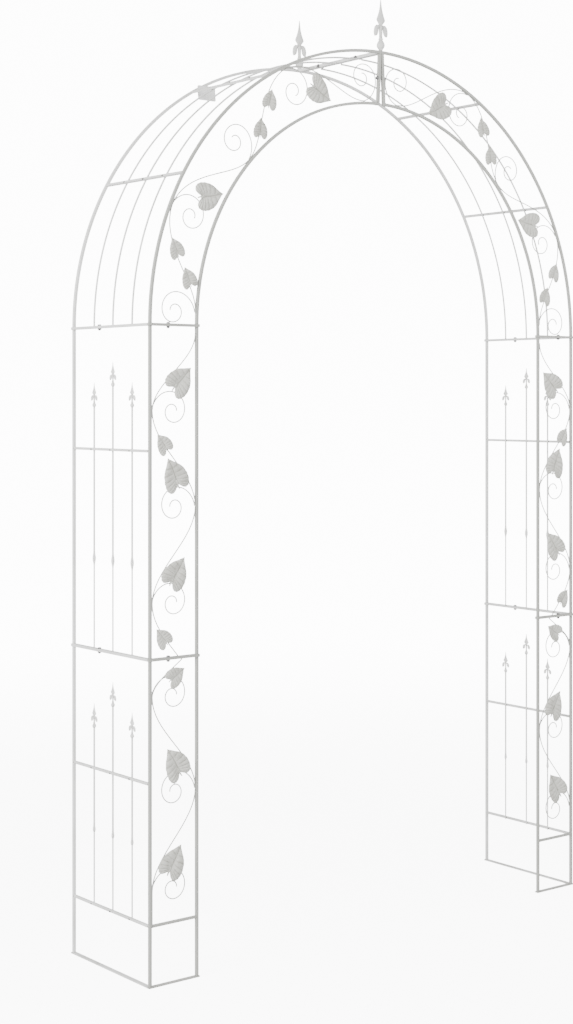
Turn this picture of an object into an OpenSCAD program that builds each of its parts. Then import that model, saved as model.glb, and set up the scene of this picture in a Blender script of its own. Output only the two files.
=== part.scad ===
// Garden rose arch in painted steel. Two towers carry a round arch, and every frame is bolted to
// the next. Each tower has a lower and an upper section with three posts: one at the rear, one at
// the outer front corner and one at the inner front corner. Spears stand in the side panels, and
// a wire vine with pressed leaves climbs the front panels and the face of the arch.
// X runs across the way through, -Y is the front, and the origin is at the middle of the footprint.
// Every side piece is drawn on the left and mirrored to the right.

/* [Overall] */
// Distance between the outer posts of the two towers, centre to centre
span = 1500; // [1250:10:1800]
// Distance between the front and rear posts, centre to centre
depth = 350; // [290:5:430]
// Width of the vine panels, post centre to post centre
panel_w = 140; // [130:1:170]
// Height of the lower tower sections
lower_h = 800; // [660:5:960]
// Height of the upper tower sections
upper_h = 820; // [680:5:990]

/* [Steel sections] */
// Side of the square tubes of the posts and arches
tube = 8; // [6:0.5:10]
// Wall of the square tubes
tube_wall = 1; // [0.8:0.1:1.5]
// Width of the flat bars that close the frames
bar_w = 12; // [10:0.5:16]
// Thickness of the flat bars
bar_t = 3.5; // [2.5:0.5:5]
// Side of the solid square rails and rungs
rail = 7; // [5:0.5:8]
// Diameter of the spear rods and arch rods
rod_d = 5; // [4:0.5:6]
// Diameter of the thin foot of a spear rod
rod_foot_d = 4; // [3:0.5:4]
// Gap left at each round weld, so that pieces touch and don't overlap
weld_gap = 0.05; // [0.02:0.01:0.2]

/* [Rails and rungs] */
// Height of the low rails, which stop the frame at soil level
low_rail_z = 150; // [100:5:200]
// Height of the middle rail above the foot of a lower section
lower_rail_z = 497; // [440:1:540]
// Height of the middle rail above the foot of an upper section
upper_rail_z = 510; // [440:1:540]
// Angle between a spring line and the first rung of the arch
rung_step = 30; // [24:1:36]

/* [Spears] */
// Length of a spear head
spear_head_h = 65; // [50:1:80]
// Drop from the top of a section to the tips of its outer spears
spear_drop = 140; // [110:1:170]
// Drop from the top of a lower section to the tip of its middle spear
lower_middle_drop = 75; // [60:1:100]
// Drop from the top of an upper section to the tip of its middle spear
upper_middle_drop = 88; // [60:1:100]
// Height of the taper in a lower spear above the foot of its section
taper_z = 337; // [300:1:380]
// Height of the swelling in an upper spear above the foot of its section
swell_z = 230; // [180:1:280]
// Length of the swelling in a spear rod
swell_l = 42; // [30:1:60]
// Diameter of the swelling in a spear rod
swell_d = 9; // [7:0.5:12]

/* [Finials] */
// Height of the finials on the apex
finial_h = 140; // [110:1:170]

/* [Vine] */
// Diameter of the vine wire
wire_d = 3; // [2.5:0.5:4]
// Distance from a weld on the post to the eye of its scroll
scroll_r = 62; // [54:1:64]
// Length of a large leaf from notch to tip
large_leaf = 72; // [56:1:74]
// Length of a medium leaf from notch to tip
medium_leaf = 50; // [40:1:56]
// Length of a small leaf from notch to tip
small_leaf = 46; // [38:1:50]
// Thickness of a leaf
leaf_t = 1.2; // [0.8:0.1:1.5]

/* [Bolts] */
// Diameter of the bolts
bolt_d = 5; // [4:0.5:5]
// Extra width of a bolt hole over its bolt
hole_play = 0.5; // [0.3:0.1:0.8]
// Distance from the rear post to the side bolt
side_bolt = 122; // [110:1:125]
// Distance from the outer post to the front bolt
front_bolt = 54; // [40:1:60]
// Distance from the rear post to the ground peg hole in the side of the lowest bar
side_peg = 118; // [105:1:121]
// Distance from the outer post to the ground peg hole in the front of the lowest bar
front_peg = 51; // [40:1:60]
// Distance from the middle of the top crossbar to each of its bolts
crossbar_bolt = 80; // [50:1:100]
// Lean of the apex uprights, which opens the seam between them towards the foot
upright_lean = 2.5; // [0:0.1:3]
// Gap between the two halves at the top of the apex
seam = 0.4; // [0.2:0.1:1]

/* [Tag] */
// Width of the blank tag
tag_w = 60; // [40:1:80]
// Height of the blank tag
tag_h = 41; // [30:1:60]
// Thickness of the blank tag
tag_t = 0.8; // [0.4:0.1:1.5]
// Angle of the tag along the rear arc
tag_angle = 63; // [62:1:70]

/* [Hidden] */
$fn = 48;
SIDES = ["left", "right"];
SECTIONS = ["lower", "upper"];
SECTION_PARTS = ["rear_post", "outer_post", "inner_post", "foot_bar", "head_bar",
    "rails", "spears", "vine", "leaves"];
ARCH_PARTS = ["rear_arc", "outer_arc", "inner_arc", "foot_bar", "rungs", "rods", "vine", "leaves"];
APEX_PARTS = ["apex_uprights", "top_crossbars", "front_finial", "rear_finial",
    "bolts", "nuts", "blank_tag"];

paint = [0.86, 0.86, 0.83];
leaf_paint = [0.76, 0.77, 0.73];
steel = [0.7, 0.7, 0.7];
paper = "white";

front_y = -depth / 2;
rear_y = depth / 2;
outer_x = -span / 2;
inner_x = outer_x + panel_w;

// The arch springs from the top face of its own foot bar.
joint_z = lower_h;
arch_foot_z = lower_h + upper_h;
arch_z = arch_foot_z + bar_t;
arch_r = span / 2;
inner_arch_r = arch_r - panel_w;
mid_arch_r = arch_r - panel_w / 2;
apex_z = arch_z + arch_r + tube / 2;
apex_face = seam / 2 + tube;

rod_pitch = depth / 4;
rod_x = outer_x + rail / 2 + rod_d / 2 + weld_gap;
rod_r = arch_r - rail / 2 - rod_d / 2 - weld_gap;

hole_d = bolt_d + hole_play;
joint_holes = [[outer_x, rear_y - side_bolt], [outer_x + front_bolt, front_y]];
peg_holes = [[outer_x, rear_y - side_peg], [outer_x + front_peg, front_y]];
bolt_flats = bolt_d * 1.6;
bolt_head_h = bolt_d * 0.7;
nut_h = bolt_d * 0.8;
bolt_tail = 1.5;

// The stem lies in front of the scrolls, and each leaf lies on the front of one of them.
stem_y = front_y - wire_d / 2 - weld_gap / 2;
scroll_y = front_y + wire_d / 2 + weld_gap / 2;
wave = panel_w / 2 - tube / 2 - wire_d / 2 - weld_gap;
wave_steps = 10;
scroll_steps = 24;
scroll_turn = 540;
scroll_end_r = scroll_r / 5;
wire_sides = 6;

// Heights at which the stem meets a post, above the foot of its frame. The first of a tower
// section and the arch's second are on the outer post, and they change sides in turn.
lower_first = 234;
lower_last_drop = 92;
upper_first = 136;
upper_last_drop = 212;
upper_end_drop = 20;
arch_first = 32;
arch_last_gap = 66;
lower_pitch = (lower_h - lower_first - lower_last_drop) / 2;
upper_pitch = (upper_h - upper_first - upper_last_drop) / 2;
arch_length = mid_arch_r * PI / 2;
arch_pitch = (arch_length - arch_first - arch_last_gap) / 4;
lower_welds = [for (i = [0 : 2]) lower_first + i * lower_pitch];
upper_welds = concat([for (i = [0 : 2]) upper_first + i * upper_pitch], [upper_h - upper_end_drop]);
arch_welds = [for (i = [0 : 4]) arch_first + i * arch_pitch];
lower_exit_pitch = 140;

// Leaves: the weld that each belongs to, its notch's height above that weld, its notch's distance
// towards the inner post from the stem or scroll eye at that height, the way that its tip points
// (0 towards the inner post, 90 up), its length, and the wire that it is on.
lower_leaves = [
    [0, 42, 36.7, 58, large_leaf, "stem"],
    [1, 44, -37.8, 120, large_leaf, "stem"],
    [2, 38, 30.4, 32, medium_leaf, "stem"],
];
upper_leaves = [
    [0, -98, -7, 128, small_leaf, "stem"],
    [0, 51, 39.2, 55, large_leaf, "stem"],
    [1, 53, -39.1, 113, large_leaf, "stem"],
    [1, 141, -3.6, 125, small_leaf, "stem"],
    [2, 57, 36.4, 44, large_leaf, "stem"],
];
arch_leaves = [
    [0, 72, 2.6, 120, small_leaf, "stem"],
    [0, 136, 2.2, 126, small_leaf, "stem"],
    [1, 57, 4.5, 38, large_leaf, "scroll"],
    [2, 72, 1.6, 134, small_leaf, "stem"],
    [2, 143, 12.9, 130, small_leaf, "stem"],
    [3, 64, 4.5, 41, large_leaf, "scroll"],
];

// Half outline of a fleur head, as [half width, height] shares of its height
fleur_half = [
    [0.03, 0.2], [0.045, 0.29], [0.1, 0.27], [0.19, 0.25], [0.2, 0.31],
    [0.14, 0.42], [0.07, 0.5], [0.035, 0.54], [0.09, 0.61], [0.07, 0.7], [0.025, 0.88],
];
fleur_thick = 0.06;
fleur_tip_h = 0.12;

function tower_foot(section) = section == "lower" ? 0 : lower_h;
function tower_height(section) = section == "lower" ? lower_h : upper_h;
function rail_height(section) = section == "lower" ? lower_rail_z : upper_rail_z;
function middle_drop(section) = section == "lower" ? lower_middle_drop : upper_middle_drop;

// Panel coordinates are [distance from the outer post, distance up], bent round for the arch.
function on_tower(p, section) = [outer_x + p[0], tower_foot(section) + p[1]];
function arch_angle(up) = up / mid_arch_r * 180 / PI;
function on_arch(p) = let (a = 180 - arch_angle(p[1]), r = arch_r - p[0])
    [r * cos(a), arch_z + r * sin(a)];

// One swing of the stem from a weld to the next. from_side is -1 at the outer post and 1 at the inner.
function swing(from, to, from_side, steps = wave_steps) = [for (i = [0 : steps - 1])
    [panel_w / 2 + from_side * wave * cos(180 * i / wave_steps), from + (to - from) * i / wave_steps]];
function weld_point(up, side) = [panel_w / 2 + side * wave, up];

// Notch of a leaf, which follows its wire as the panel's width or the stem's pitch changes
function notch(l, welds, side, pitch) = [
    panel_w / 2 + l[2] + side * (l[5] == "stem" ? wave * cos(180 * l[1] / pitch) : wave - scroll_r),
    welds[l[0]] + l[1]];

// A scroll curls in from its weld at a steady rate. side is -1 at the outer post and 1 at the inner.
function scroll(up, side) = [for (i = [0 : scroll_steps])
    let (a = scroll_turn * i / scroll_steps,
        r = scroll_r * pow(scroll_end_r / scroll_r, i / scroll_steps))
    [panel_w / 2 + side * (wave - scroll_r + r * cos(a)), up + r * sin(a)]];

function unit(v) = v / norm(v);
function heading(path, i) = unit(path[min(i + 1, len(path) - 1)] - path[max(i - 1, 0)]);

// A round wire swept along a path of [x, z] points at depth y
module wire(path, y) {
    rings = len(path);
    points = [for (i = [0 : rings - 1], k = [0 : wire_sides - 1])
        let (along = heading(path, i), a = 360 * (k + 0.5) / wire_sides,
            across = wire_d / 2 * cos(a))
        [path[i][0] - along[1] * across, y + wire_d / 2 * sin(a), path[i][1] + along[0] * across]];
    sides = [for (i = [0 : rings - 2], k = [0 : wire_sides - 1])
        let (next = (k + 1) % wire_sides)
        [i * wire_sides + k, (i + 1) * wire_sides + k, (i + 1) * wire_sides + next, i * wire_sides + next]];
    first = [for (k = [0 : wire_sides - 1]) k];
    last = [for (k = [wire_sides - 1 : -1 : 0]) (rings - 1) * wire_sides + k];
    polyhedron(points, concat(sides, [first], [last]));
}

module square_tube(length) {
    linear_extrude(length) tube_section();
}

module tube_section() {
    difference() {
        square(tube, center = true);
        square(tube - 2 * tube_wall, center = true);
    }
}

module post(x, y, section) {
    translate([x, y, tower_foot(section) + bar_t]) square_tube(tower_height(section) - 2 * bar_t);
}

module rear_post(section) {
    color(paint) post(outer_x, rear_y, section);
}

module outer_post(section) {
    color(paint) post(outer_x, front_y, section);
}

module inner_post(section) {
    color(paint) post(inner_x, front_y, section);
}

// Flat bar bent round the outer front corner, with one hole in each leg
module frame_bar(z, holes) {
    translate([0, 0, z]) difference() {
        union() {
            translate([outer_x - bar_w / 2, front_y - bar_w / 2, 0]) cube([bar_w, depth + bar_w, bar_t]);
            translate([outer_x - bar_w / 2, front_y - bar_w / 2, 0]) cube([panel_w + bar_w, bar_w, bar_t]);
        }
        for (at = holes) translate([at[0], at[1], -1]) cylinder(h = bar_t + 2, d = hole_d);
    }
}

module foot_bar(section) {
    color(paint) frame_bar(tower_foot(section), section == "lower" ? peg_holes : joint_holes);
}

module head_bar(section) {
    color(paint) frame_bar(tower_foot(section) + tower_height(section) - bar_t, joint_holes);
}

module side_rail(z) {
    translate([outer_x - rail / 2, front_y + tube / 2, z - rail / 2]) cube([rail, depth - tube, rail]);
}

module front_rail(z) {
    translate([outer_x + tube / 2, front_y - rail / 2, z - rail / 2]) cube([panel_w - tube, rail, rail]);
}

module rails(section) {
    color(paint) {
        side_rail(tower_foot(section) + rail_height(section));
        if (section == "lower") {
            side_rail(low_rail_z);
            front_rail(low_rail_z);
        }
    }
}

// Pointed head with two hooked barbs on a turned cup
module fleur(h) {
    half = [for (p = fleur_half) p * h];
    mirrored = [for (i = [len(half) - 1 : -1 : 0]) [-half[i][0], half[i][1]]];
    translate([0, fleur_thick * h / 2, 0]) rotate([90, 0, 0])
        linear_extrude(fleur_thick * h) polygon(concat(half, mirrored));
    rotate_extrude() polygon([[0, 0], [0.04, 0], [0.075, 0.08], [0.06, 0.15], [0.04, 0.22], [0.045, 0.3],
        [0.04, 0.5], [0.03, 0.54], [0.06, 0.62], [0.03, 0.85], [0.008, 1], [0, 1]] * h);
}

// Rod from foot to tip: a thin foot, a taper or swelling at neck, the rod and the head
module spear(foot, neck, tip, swollen) {
    head_z = tip - spear_head_h;
    half_l = swell_l / 2;
    translate([0, 0, foot]) cylinder(h = neck - foot, d = rod_foot_d);
    if (swollen) {
        translate([0, 0, neck - half_l]) cylinder(h = half_l, d1 = rod_foot_d, d2 = swell_d);
        translate([0, 0, neck]) cylinder(h = half_l, d1 = swell_d, d2 = rod_d);
    }
    translate([0, 0, neck]) cylinder(h = head_z - neck, d = rod_d);
    translate([0, 0, head_z]) rotate([0, 0, 90]) fleur(spear_head_h);
}

module spears(section) {
    foot = section == "lower" ? low_rail_z - rail / 2 : lower_h + bar_t;
    neck = section == "lower" ? taper_z : lower_h + swell_z;
    top = tower_foot(section) + tower_height(section);
    color(paint) for (i = [-1 : 1])
        translate([rod_x, i * rod_pitch, 0])
            spear(foot, neck, top - (i == 0 ? middle_drop(section) : spear_drop), section == "upper");
}

// Stem of a tower section, as a path in panel coordinates
function lower_stem() = let (w = lower_welds, top = lower_h - bar_t - wire_d / 2) concat(
    [weld_point(low_rail_z + rail / 2 + weld_gap, -1)],
    swing(w[0], w[1], -1), swing(w[1], w[2], 1),
    [for (i = [0 : 6]) let (up = w[2] + (top - w[2]) * i / 6)
        [panel_w / 2 - wave * cos(180 * (up - w[2]) / lower_exit_pitch), up]]);
function upper_stem() = let (w = upper_welds, low = bar_t + wire_d / 2) concat(
    [for (i = [0 : 5]) let (up = low + (w[0] - low) * i / 6)
        [panel_w / 2 - wave * cos(180 * (w[0] - up) / upper_pitch), up]],
    swing(w[0], w[1], -1), swing(w[1], w[2], 1), swing(w[2], w[3], -1), [weld_point(w[3], 1)]);
function arch_stem() = let (w = arch_welds) concat(
    [for (i = [0 : 3]) each swing(w[i], w[i + 1], i % 2 == 0 ? 1 : -1)], [weld_point(w[4], 1)]);

module vine(section) {
    welds = section == "lower" ? lower_welds : upper_welds;
    stem = section == "lower" ? lower_stem() : upper_stem();
    color(paint) {
        wire([for (p = stem) on_tower(p, section)], stem_y);
        for (i = [0 : 2])
            wire([for (p = scroll(welds[i], i == 1 ? 1 : -1)) on_tower(p, section)], scroll_y);
    }
}

module arch_vine() {
    color(paint) {
        wire([for (p = arch_stem()) on_arch(p)], stem_y);
        for (i = [0 : 4])
            wire([for (p = scroll(arch_welds[i], i % 2 == 0 ? 1 : -1)) on_arch(p)], scroll_y);
    }
}

// Half outline of a heart leaf from its notch at the origin to its tip at [0, size]
function heart_half(size) = [for (i = [1 : 10]) let (t = i / 10, s = 1 - t)
    size * [3 * s * s * t * 0.5 + 3 * s * t * t * 0.84,
        -3 * s * s * t * 0.6 + 3 * s * t * t * 0.38 + t * t * t]];

module leaf(size) {
    half = heart_half(size);
    other = [for (i = [len(half) - 2 : -1 : 0]) [-half[i][0], half[i][1]]];
    linear_extrude(leaf_t) polygon(concat([[0, 0]], half, other));
}

module leaf_at(place, tip_angle, l) {
    translate([place[0], (l[5] == "stem" ? stem_y : scroll_y) - wire_d / 2 - weld_gap, place[1]])
        rotate([90, 0, 0]) rotate([0, 0, tip_angle - 90]) leaf(l[4]);
}

module leaves(section) {
    lower = section == "lower";
    welds = lower ? lower_welds : upper_welds;
    pitches = lower ? [lower_pitch, lower_pitch, lower_exit_pitch]
        : [upper_pitch, upper_pitch, upper_welds[3] - upper_welds[2]];
    color(leaf_paint) for (l = lower ? lower_leaves : upper_leaves)
        leaf_at(on_tower(notch(l, welds, l[0] == 1 ? 1 : -1, pitches[l[0]]), section), l[3], l);
}

module arch_leaf_set() {
    color(leaf_paint) for (l = arch_leaves) {
        place = notch(l, arch_welds, l[0] % 2 == 0 ? 1 : -1, arch_pitch);
        leaf_at(on_arch(place), l[3] - arch_angle(place[1]), l);
    }
}

// Tube bent to a quarter circle, which stops at the face of the apex pieces
module arc_tube(r, y, face) {
    stop = asin(face / (r - tube / 2));
    translate([0, y, arch_z]) rotate([90, 0, 0]) rotate([0, 0, 90 + stop])
        rotate_extrude(angle = 90 - stop, $fn = 180) translate([r, 0]) tube_section();
}

module rear_arc() {
    color(paint) arc_tube(arch_r, rear_y, apex_face);
}

module outer_arc() {
    color(paint) arc_tube(arch_r, front_y, apex_face + tube * sin(upright_lean) + weld_gap);
}

module inner_arc() {
    color(paint) arc_tube(inner_arch_r, front_y,
        apex_face + (panel_w + tube) * sin(upright_lean) + weld_gap);
}

module rungs() {
    color(paint) for (i = [1, 2])
        translate([0, 0, arch_z]) rotate([0, i * rung_step, 0]) translate([-arch_r, 0, 0])
            cube([rail, depth - tube, rail], center = true);
}

module rods() {
    stop = asin(apex_face / (rod_r - rod_d / 2));
    color(paint) for (i = [-1 : 1])
        translate([0, i * rod_pitch, arch_z]) rotate([90, 0, 0]) rotate([0, 0, 90 + stop])
            rotate_extrude(angle = 90 - stop, $fn = 180) translate([rod_r, 0]) circle(d = rod_d, $fn = 24);
}

module both_sides() {
    children();
    mirror([1, 0, 0]) children();
}

// Uprights hang from the apex and lean away from each other towards the foot.
module apex_uprights() {
    length = panel_w + tube;
    color(paint) both_sides()
        translate([-seam / 2, front_y, apex_z - tube * sin(upright_lean) - weld_gap])
            rotate([0, upright_lean, 0])
            difference() {
                translate([-tube / 2, 0, -length]) square_tube(length);
                translate([-tube - 1, 0, -length / 2]) rotate([0, 90, 0]) cylinder(h = tube + 2, d = hole_d);
            }
}

module top_crossbars() {
    length = depth;
    color(paint) both_sides()
        translate([-seam / 2 - tube / 2, front_y + tube / 2, apex_z - tube / 2])
            difference() {
                rotate([-90, 0, 0]) square_tube(length);
                for (y = [-crossbar_bolt, crossbar_bolt])
                    translate([-tube / 2 - 1, rear_y - tube / 2 + y, 0]) rotate([0, 90, 0])
                        cylinder(h = tube + 2, d = hole_d);
            }
}

module front_finial() {
    color(paint) translate([0, front_y, apex_z]) fleur(finial_h);
}

module rear_finial() {
    color(paint) translate([0, rear_y, apex_z]) fleur(finial_h);
}

module hex_prism(h) {
    cylinder(h = h, d = bolt_flats / cos(30), $fn = 6);
}

// Bolt with the underside of its head at the origin and its shank down, for a grip of this depth
module bolt(grip) {
    hex_prism(bolt_head_h);
    shank = grip + nut_h + bolt_tail;
    translate([0, 0, -shank]) cylinder(h = shank + 1, d = bolt_d);
}

module nut(grip) {
    translate([0, 0, -grip - nut_h]) difference() {
        hex_prism(nut_h);
        translate([0, 0, -1]) cylinder(h = nut_h + 2, d = bolt_d + 2 * weld_gap);
    }
}

joint_grip = 2 * bar_t;
apex_grip = 2 * tube + seam;
upright_grip = apex_grip + (panel_w + tube) * sin(upright_lean)
    + bolt_flats / cos(30) * tan(upright_lean) + 2 * weld_gap;

// Places the children at every bolted joint: four at each tower joint, one through the uprights
// and two through the crossbars.
module at_frame_joints() {
    for (z = [joint_z, arch_foot_z]) both_sides()
        for (at = joint_holes) translate([at[0], at[1], z + bar_t]) children();
}

module at_crossbar_joints() {
    for (y = [-crossbar_bolt, crossbar_bolt])
        translate([-apex_grip / 2, y, apex_z - tube / 2]) rotate([0, -90, 0]) children();
}

module at_upright_joint() {
    translate([-upright_grip / 2, front_y, apex_z - (panel_w + tube) / 2]) rotate([0, -90, 0]) children();
}

module bolts() {
    color(steel) {
        at_frame_joints() bolt(joint_grip);
        at_crossbar_joints() bolt(apex_grip);
        at_upright_joint() bolt(upright_grip);
    }
}

module nuts() {
    color(steel) {
        at_frame_joints() nut(joint_grip);
        at_crossbar_joints() nut(apex_grip);
        at_upright_joint() nut(upright_grip);
    }
}

// Blank tag fixed to the front of the rear arc
module blank_tag() {
    hang_r = arch_r - tag_h / 2;
    color(paper)
        translate([-hang_r * cos(tag_angle), rear_y - (tube + tag_t) / 2, arch_z + hang_r * sin(tag_angle)])
            cube([tag_w, tag_t, tag_h], center = true);
}

module on_side(side) {
    if (side == "left") children();
    else mirror([1, 0, 0]) children();
}

for (side = SIDES) on_side(side) {
    for (section = SECTIONS) {
        name = str(side, "_", section, "_");
        rear_post(section);
        outer_post(section);
        inner_post(section);
        foot_bar(section);
        head_bar(section);
        rails(section);
        spears(section);
        vine(section);
        leaves(section);
    }
    rear_arc();
    outer_arc();
    inner_arc();
    color(paint) frame_bar(arch_foot_z, joint_holes);
    rungs();
    rods();
    arch_vine();
    arch_leaf_set();
}
apex_uprights();
top_crossbars();
front_finial();
rear_finial();
bolts();
nuts();
blank_tag();
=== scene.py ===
"""Garden rose arch: two open towers and a round arch in painted steel, with a wire vine and leaves."""

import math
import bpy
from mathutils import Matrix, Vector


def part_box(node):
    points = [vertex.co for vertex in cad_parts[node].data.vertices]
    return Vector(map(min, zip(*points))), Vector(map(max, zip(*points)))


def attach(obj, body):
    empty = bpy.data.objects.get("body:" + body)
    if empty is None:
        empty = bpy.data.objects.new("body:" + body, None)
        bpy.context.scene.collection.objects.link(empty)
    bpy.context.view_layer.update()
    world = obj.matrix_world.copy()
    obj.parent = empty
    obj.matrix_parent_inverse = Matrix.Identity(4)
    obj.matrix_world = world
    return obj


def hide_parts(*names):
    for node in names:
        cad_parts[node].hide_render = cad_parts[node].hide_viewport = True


bl_info = {
    "name": "Garden Rose Arch",
    "version": (1, 0, 0),
    "blender": (4, 5, 0),
    "location": "View3D > Sidebar > Rose Arch",
    "description": "Gives a bolted garden arch its tubes, vine, leaves, castings, welds and paint",
    "category": "Object",
}

import bmesh
import bpy
from bpy.props import FloatProperty, FloatVectorProperty, IntProperty, PointerProperty
from mathutils import Matrix, Vector, noise

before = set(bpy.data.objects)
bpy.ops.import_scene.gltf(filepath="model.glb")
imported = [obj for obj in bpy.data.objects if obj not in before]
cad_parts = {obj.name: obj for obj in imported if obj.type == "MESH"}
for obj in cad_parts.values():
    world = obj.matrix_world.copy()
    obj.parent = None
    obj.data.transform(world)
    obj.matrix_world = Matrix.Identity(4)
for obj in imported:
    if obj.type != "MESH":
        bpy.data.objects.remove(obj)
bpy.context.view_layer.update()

SIDES = (("left", 1), ("right", -1))
SECTIONS = ("lower", "upper")
PANELS = ("lower", "upper", "arch")
SECTION_POSTS = ("rear_post", "outer_post", "inner_post")


def middle(node):
    """Middle of a CAD node's box."""
    low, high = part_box(node)
    return (low + high) / 2


def extent(node):
    """Size of a CAD node's box."""
    low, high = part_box(node)
    return high - low


def both_sides(*parts):
    """Names of the CAD nodes with these names on the left side and on the right side."""
    return [f"{side}_{part}" for side, _ in SIDES for part in parts]


# The frame's own sizes, in metres. Each is for the left side, which is mirrored to the right.
TUBE = extent("left_lower_outer_post").x
RAIL = extent("left_upper_rails").x
BAR_T = extent("left_lower_foot_bar").z
OUTER_X, FRONT_Y = middle("left_lower_outer_post").xy
INNER_X = middle("left_lower_inner_post").x
REAR_Y = middle("left_lower_rear_post").y
PANEL_W = INNER_X - OUTER_X
FOOT_Z = {"lower": 0.0, "upper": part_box("left_upper_foot_bar")[0].z}
HEAD_Z = {"lower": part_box("left_lower_head_bar")[1].z, "upper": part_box("left_upper_head_bar")[1].z}
ARCH_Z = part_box("left_arch_foot_bar")[1].z
ARCH_R = -OUTER_X
MID_ARCH_R = ARCH_R - PANEL_W / 2
APEX_Z = ARCH_Z + ARCH_R + TUBE / 2
POST_PLACES = ((OUTER_X, REAR_Y), (OUTER_X, FRONT_Y), (INNER_X, FRONT_Y))
RAIL_ENDS = (FRONT_Y + TUBE / 2, REAR_Y - TUBE / 2)
LOW_RAIL_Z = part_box("left_lower_rails")[0].z + RAIL / 2
MID_RAIL_Z = {"lower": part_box("left_lower_rails")[1].z - RAIL / 2, "upper": middle("left_upper_rails").z}
RUNG_ANGLES = (30, 60)
WELD_GAP = 0.00005  # between two pieces that are welded together
SEAM = 0.0004  # between the two halves of the arch
APEX_FACE = SEAM / 2 + TUBE  # from the middle to the outer face of a crossbar
LEAN = math.radians(2.5)  # of each apex upright

ROD_D = 0.005
ROD_X = OUTER_X + RAIL / 2 + ROD_D / 2 + WELD_GAP
ROD_PITCH = (REAR_Y - FRONT_Y) / 4
ROD_ROWS = [i * ROD_PITCH for i in (-1, 0, 1)]
SPEAR_HEAD_H = 0.065
SPEAR_STEP = 0.140  # from the head bar down to the tips of the two outer spears
NECK_Z = {"lower": 0.337, "upper": FOOT_Z["upper"] + 0.230}
SPEAR_SPREAD, FINIAL_SPREAD = 1.65, 1.25  # how wide the petals stand, as shares of the plain head's

WIRE_D = extent("left_lower_vine").y / 2 - WELD_GAP / 2
STEM_Y = FRONT_Y - WIRE_D / 2 - WELD_GAP / 2
SCROLL_Y = FRONT_Y + WIRE_D / 2 + WELD_GAP / 2
WAVE = PANEL_W / 2 - TUBE / 2 - WIRE_D / 2 - WELD_GAP
SCROLL_R = 0.062
SCROLL_SHRINK = 1 / 5
SCROLL_TURN = math.radians(540)
SCROLLS = {"lower": 3, "upper": 3, "arch": 5}

# The stem's welds to the posts and arcs: the first one's height in its panel, and what is left above the
# weld of the last scroll
LOWER_H = HEAD_Z["lower"]
UPPER_H = HEAD_Z["upper"] - FOOT_Z["upper"]
FIRST_WELD = {"lower": 0.234, "upper": 0.136, "arch": 0.032}
LAST_GAP = {"lower": 0.092, "upper": 0.212, "arch": 0.066}
LOWER_EXIT_PITCH = 0.140
TOP_WELD_DROP = 0.020
LOWER_PITCH = (LOWER_H - FIRST_WELD["lower"] - LAST_GAP["lower"]) / 2
UPPER_PITCH = (UPPER_H - FIRST_WELD["upper"] - LAST_GAP["upper"]) / 2
ARCH_PITCH = (MID_ARCH_R * math.pi / 2 - FIRST_WELD["arch"] - LAST_GAP["arch"]) / 4
WELDS = {
    "lower": [FIRST_WELD["lower"] + i * LOWER_PITCH for i in range(3)],
    "upper": [FIRST_WELD["upper"] + i * UPPER_PITCH for i in range(3)] + [UPPER_H - TOP_WELD_DROP],
    "arch": [FIRST_WELD["arch"] + i * ARCH_PITCH for i in range(5)],
}
PITCHES = {
    "lower": [LOWER_PITCH, LOWER_PITCH, LOWER_EXIT_PITCH],
    "upper": [UPPER_PITCH, UPPER_PITCH, WELDS["upper"][3] - WELDS["upper"][2]],
    "arch": [ARCH_PITCH] * 4,
}

# Each leaf: its weld, height above it, distance across from its wire, way that it points, length, wire
LARGE, MEDIUM, SMALL = 0.072, 0.050, 0.046
LEAF_HULL = ((0.50, -0.60), (0.84, 0.38))  # hull of the half outline, from the notch to the tip
NOTCH_CUT = 0.10  # depth of the cut between the lobes, as a share of the leaf's length
LEAF_BACK = 0.0004  # the leaf metal's back face lies this far in front of its wire
# Relief of the pressed metal, as shares of the leaf's length
LEAF_LIFT, LEAF_FOLD, LEAF_PLEAT, EDGE_DROOP, TIP_DROOP = 0.011, 0.058, 0.022, 0.030, 0.02
LEAVES = {
    "lower": (
        (0, 0.042, 0.0367, 58, LARGE, "stem"),
        (1, 0.044, -0.0378, 120, LARGE, "stem"),
        (2, 0.038, 0.0304, 32, MEDIUM, "stem"),
    ),
    "upper": (
        (0, -0.098, -0.007, 128, SMALL, "stem"),
        (0, 0.051, 0.0392, 55, LARGE, "stem"),
        (1, 0.053, -0.0391, 113, LARGE, "stem"),
        (1, 0.141, -0.0036, 125, SMALL, "stem"),
        (2, 0.057, 0.0364, 44, LARGE, "stem"),
    ),
    "arch": (
        (0, 0.072, 0.0026, 120, SMALL, "stem"),
        (0, 0.136, 0.0022, 126, SMALL, "stem"),
        (1, 0.057, 0.0045, 38, LARGE, "scroll"),
        (2, 0.072, 0.0016, 134, SMALL, "stem"),
        (2, 0.143, 0.0129, 130, SMALL, "stem"),
        (3, 0.064, 0.0045, 41, LARGE, "scroll"),
    ),
}


def weld_side(panel, index):
    """-1 where a weld is on the outer post and 1 where it is on the inner one."""
    first = 1 if panel == "arch" else -1
    return first if index % 2 == 0 else -first


def on_panel(panel, across, up):
    """A place in a left panel, as (x, z)."""
    if panel == "arch":
        turn, r = math.pi - up / MID_ARCH_R, ARCH_R - across
        return r * math.cos(turn), ARCH_Z + r * math.sin(turn)
    return OUTER_X + across, FOOT_Z[panel] + up


def panel_turn(panel, up):
    """How far a panel has turned at this height."""
    return up / MID_ARCH_R if panel == "arch" else 0.0


# ---------------------------------------------------------------- sizes and colours


def length_property(name, description, default, low, high):
    return FloatProperty(name=name, description=description, default=default, min=low, max=high,
                         unit="LENGTH")


def count_property(name, description, default, low, high):
    return IntProperty(name=name, description=description, default=default, min=low, max=high)


def level_property(name, description, default, high, unit="NONE"):
    return FloatProperty(name=name, description=description, default=default, min=0.0, max=high,
                         unit=unit)


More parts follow.
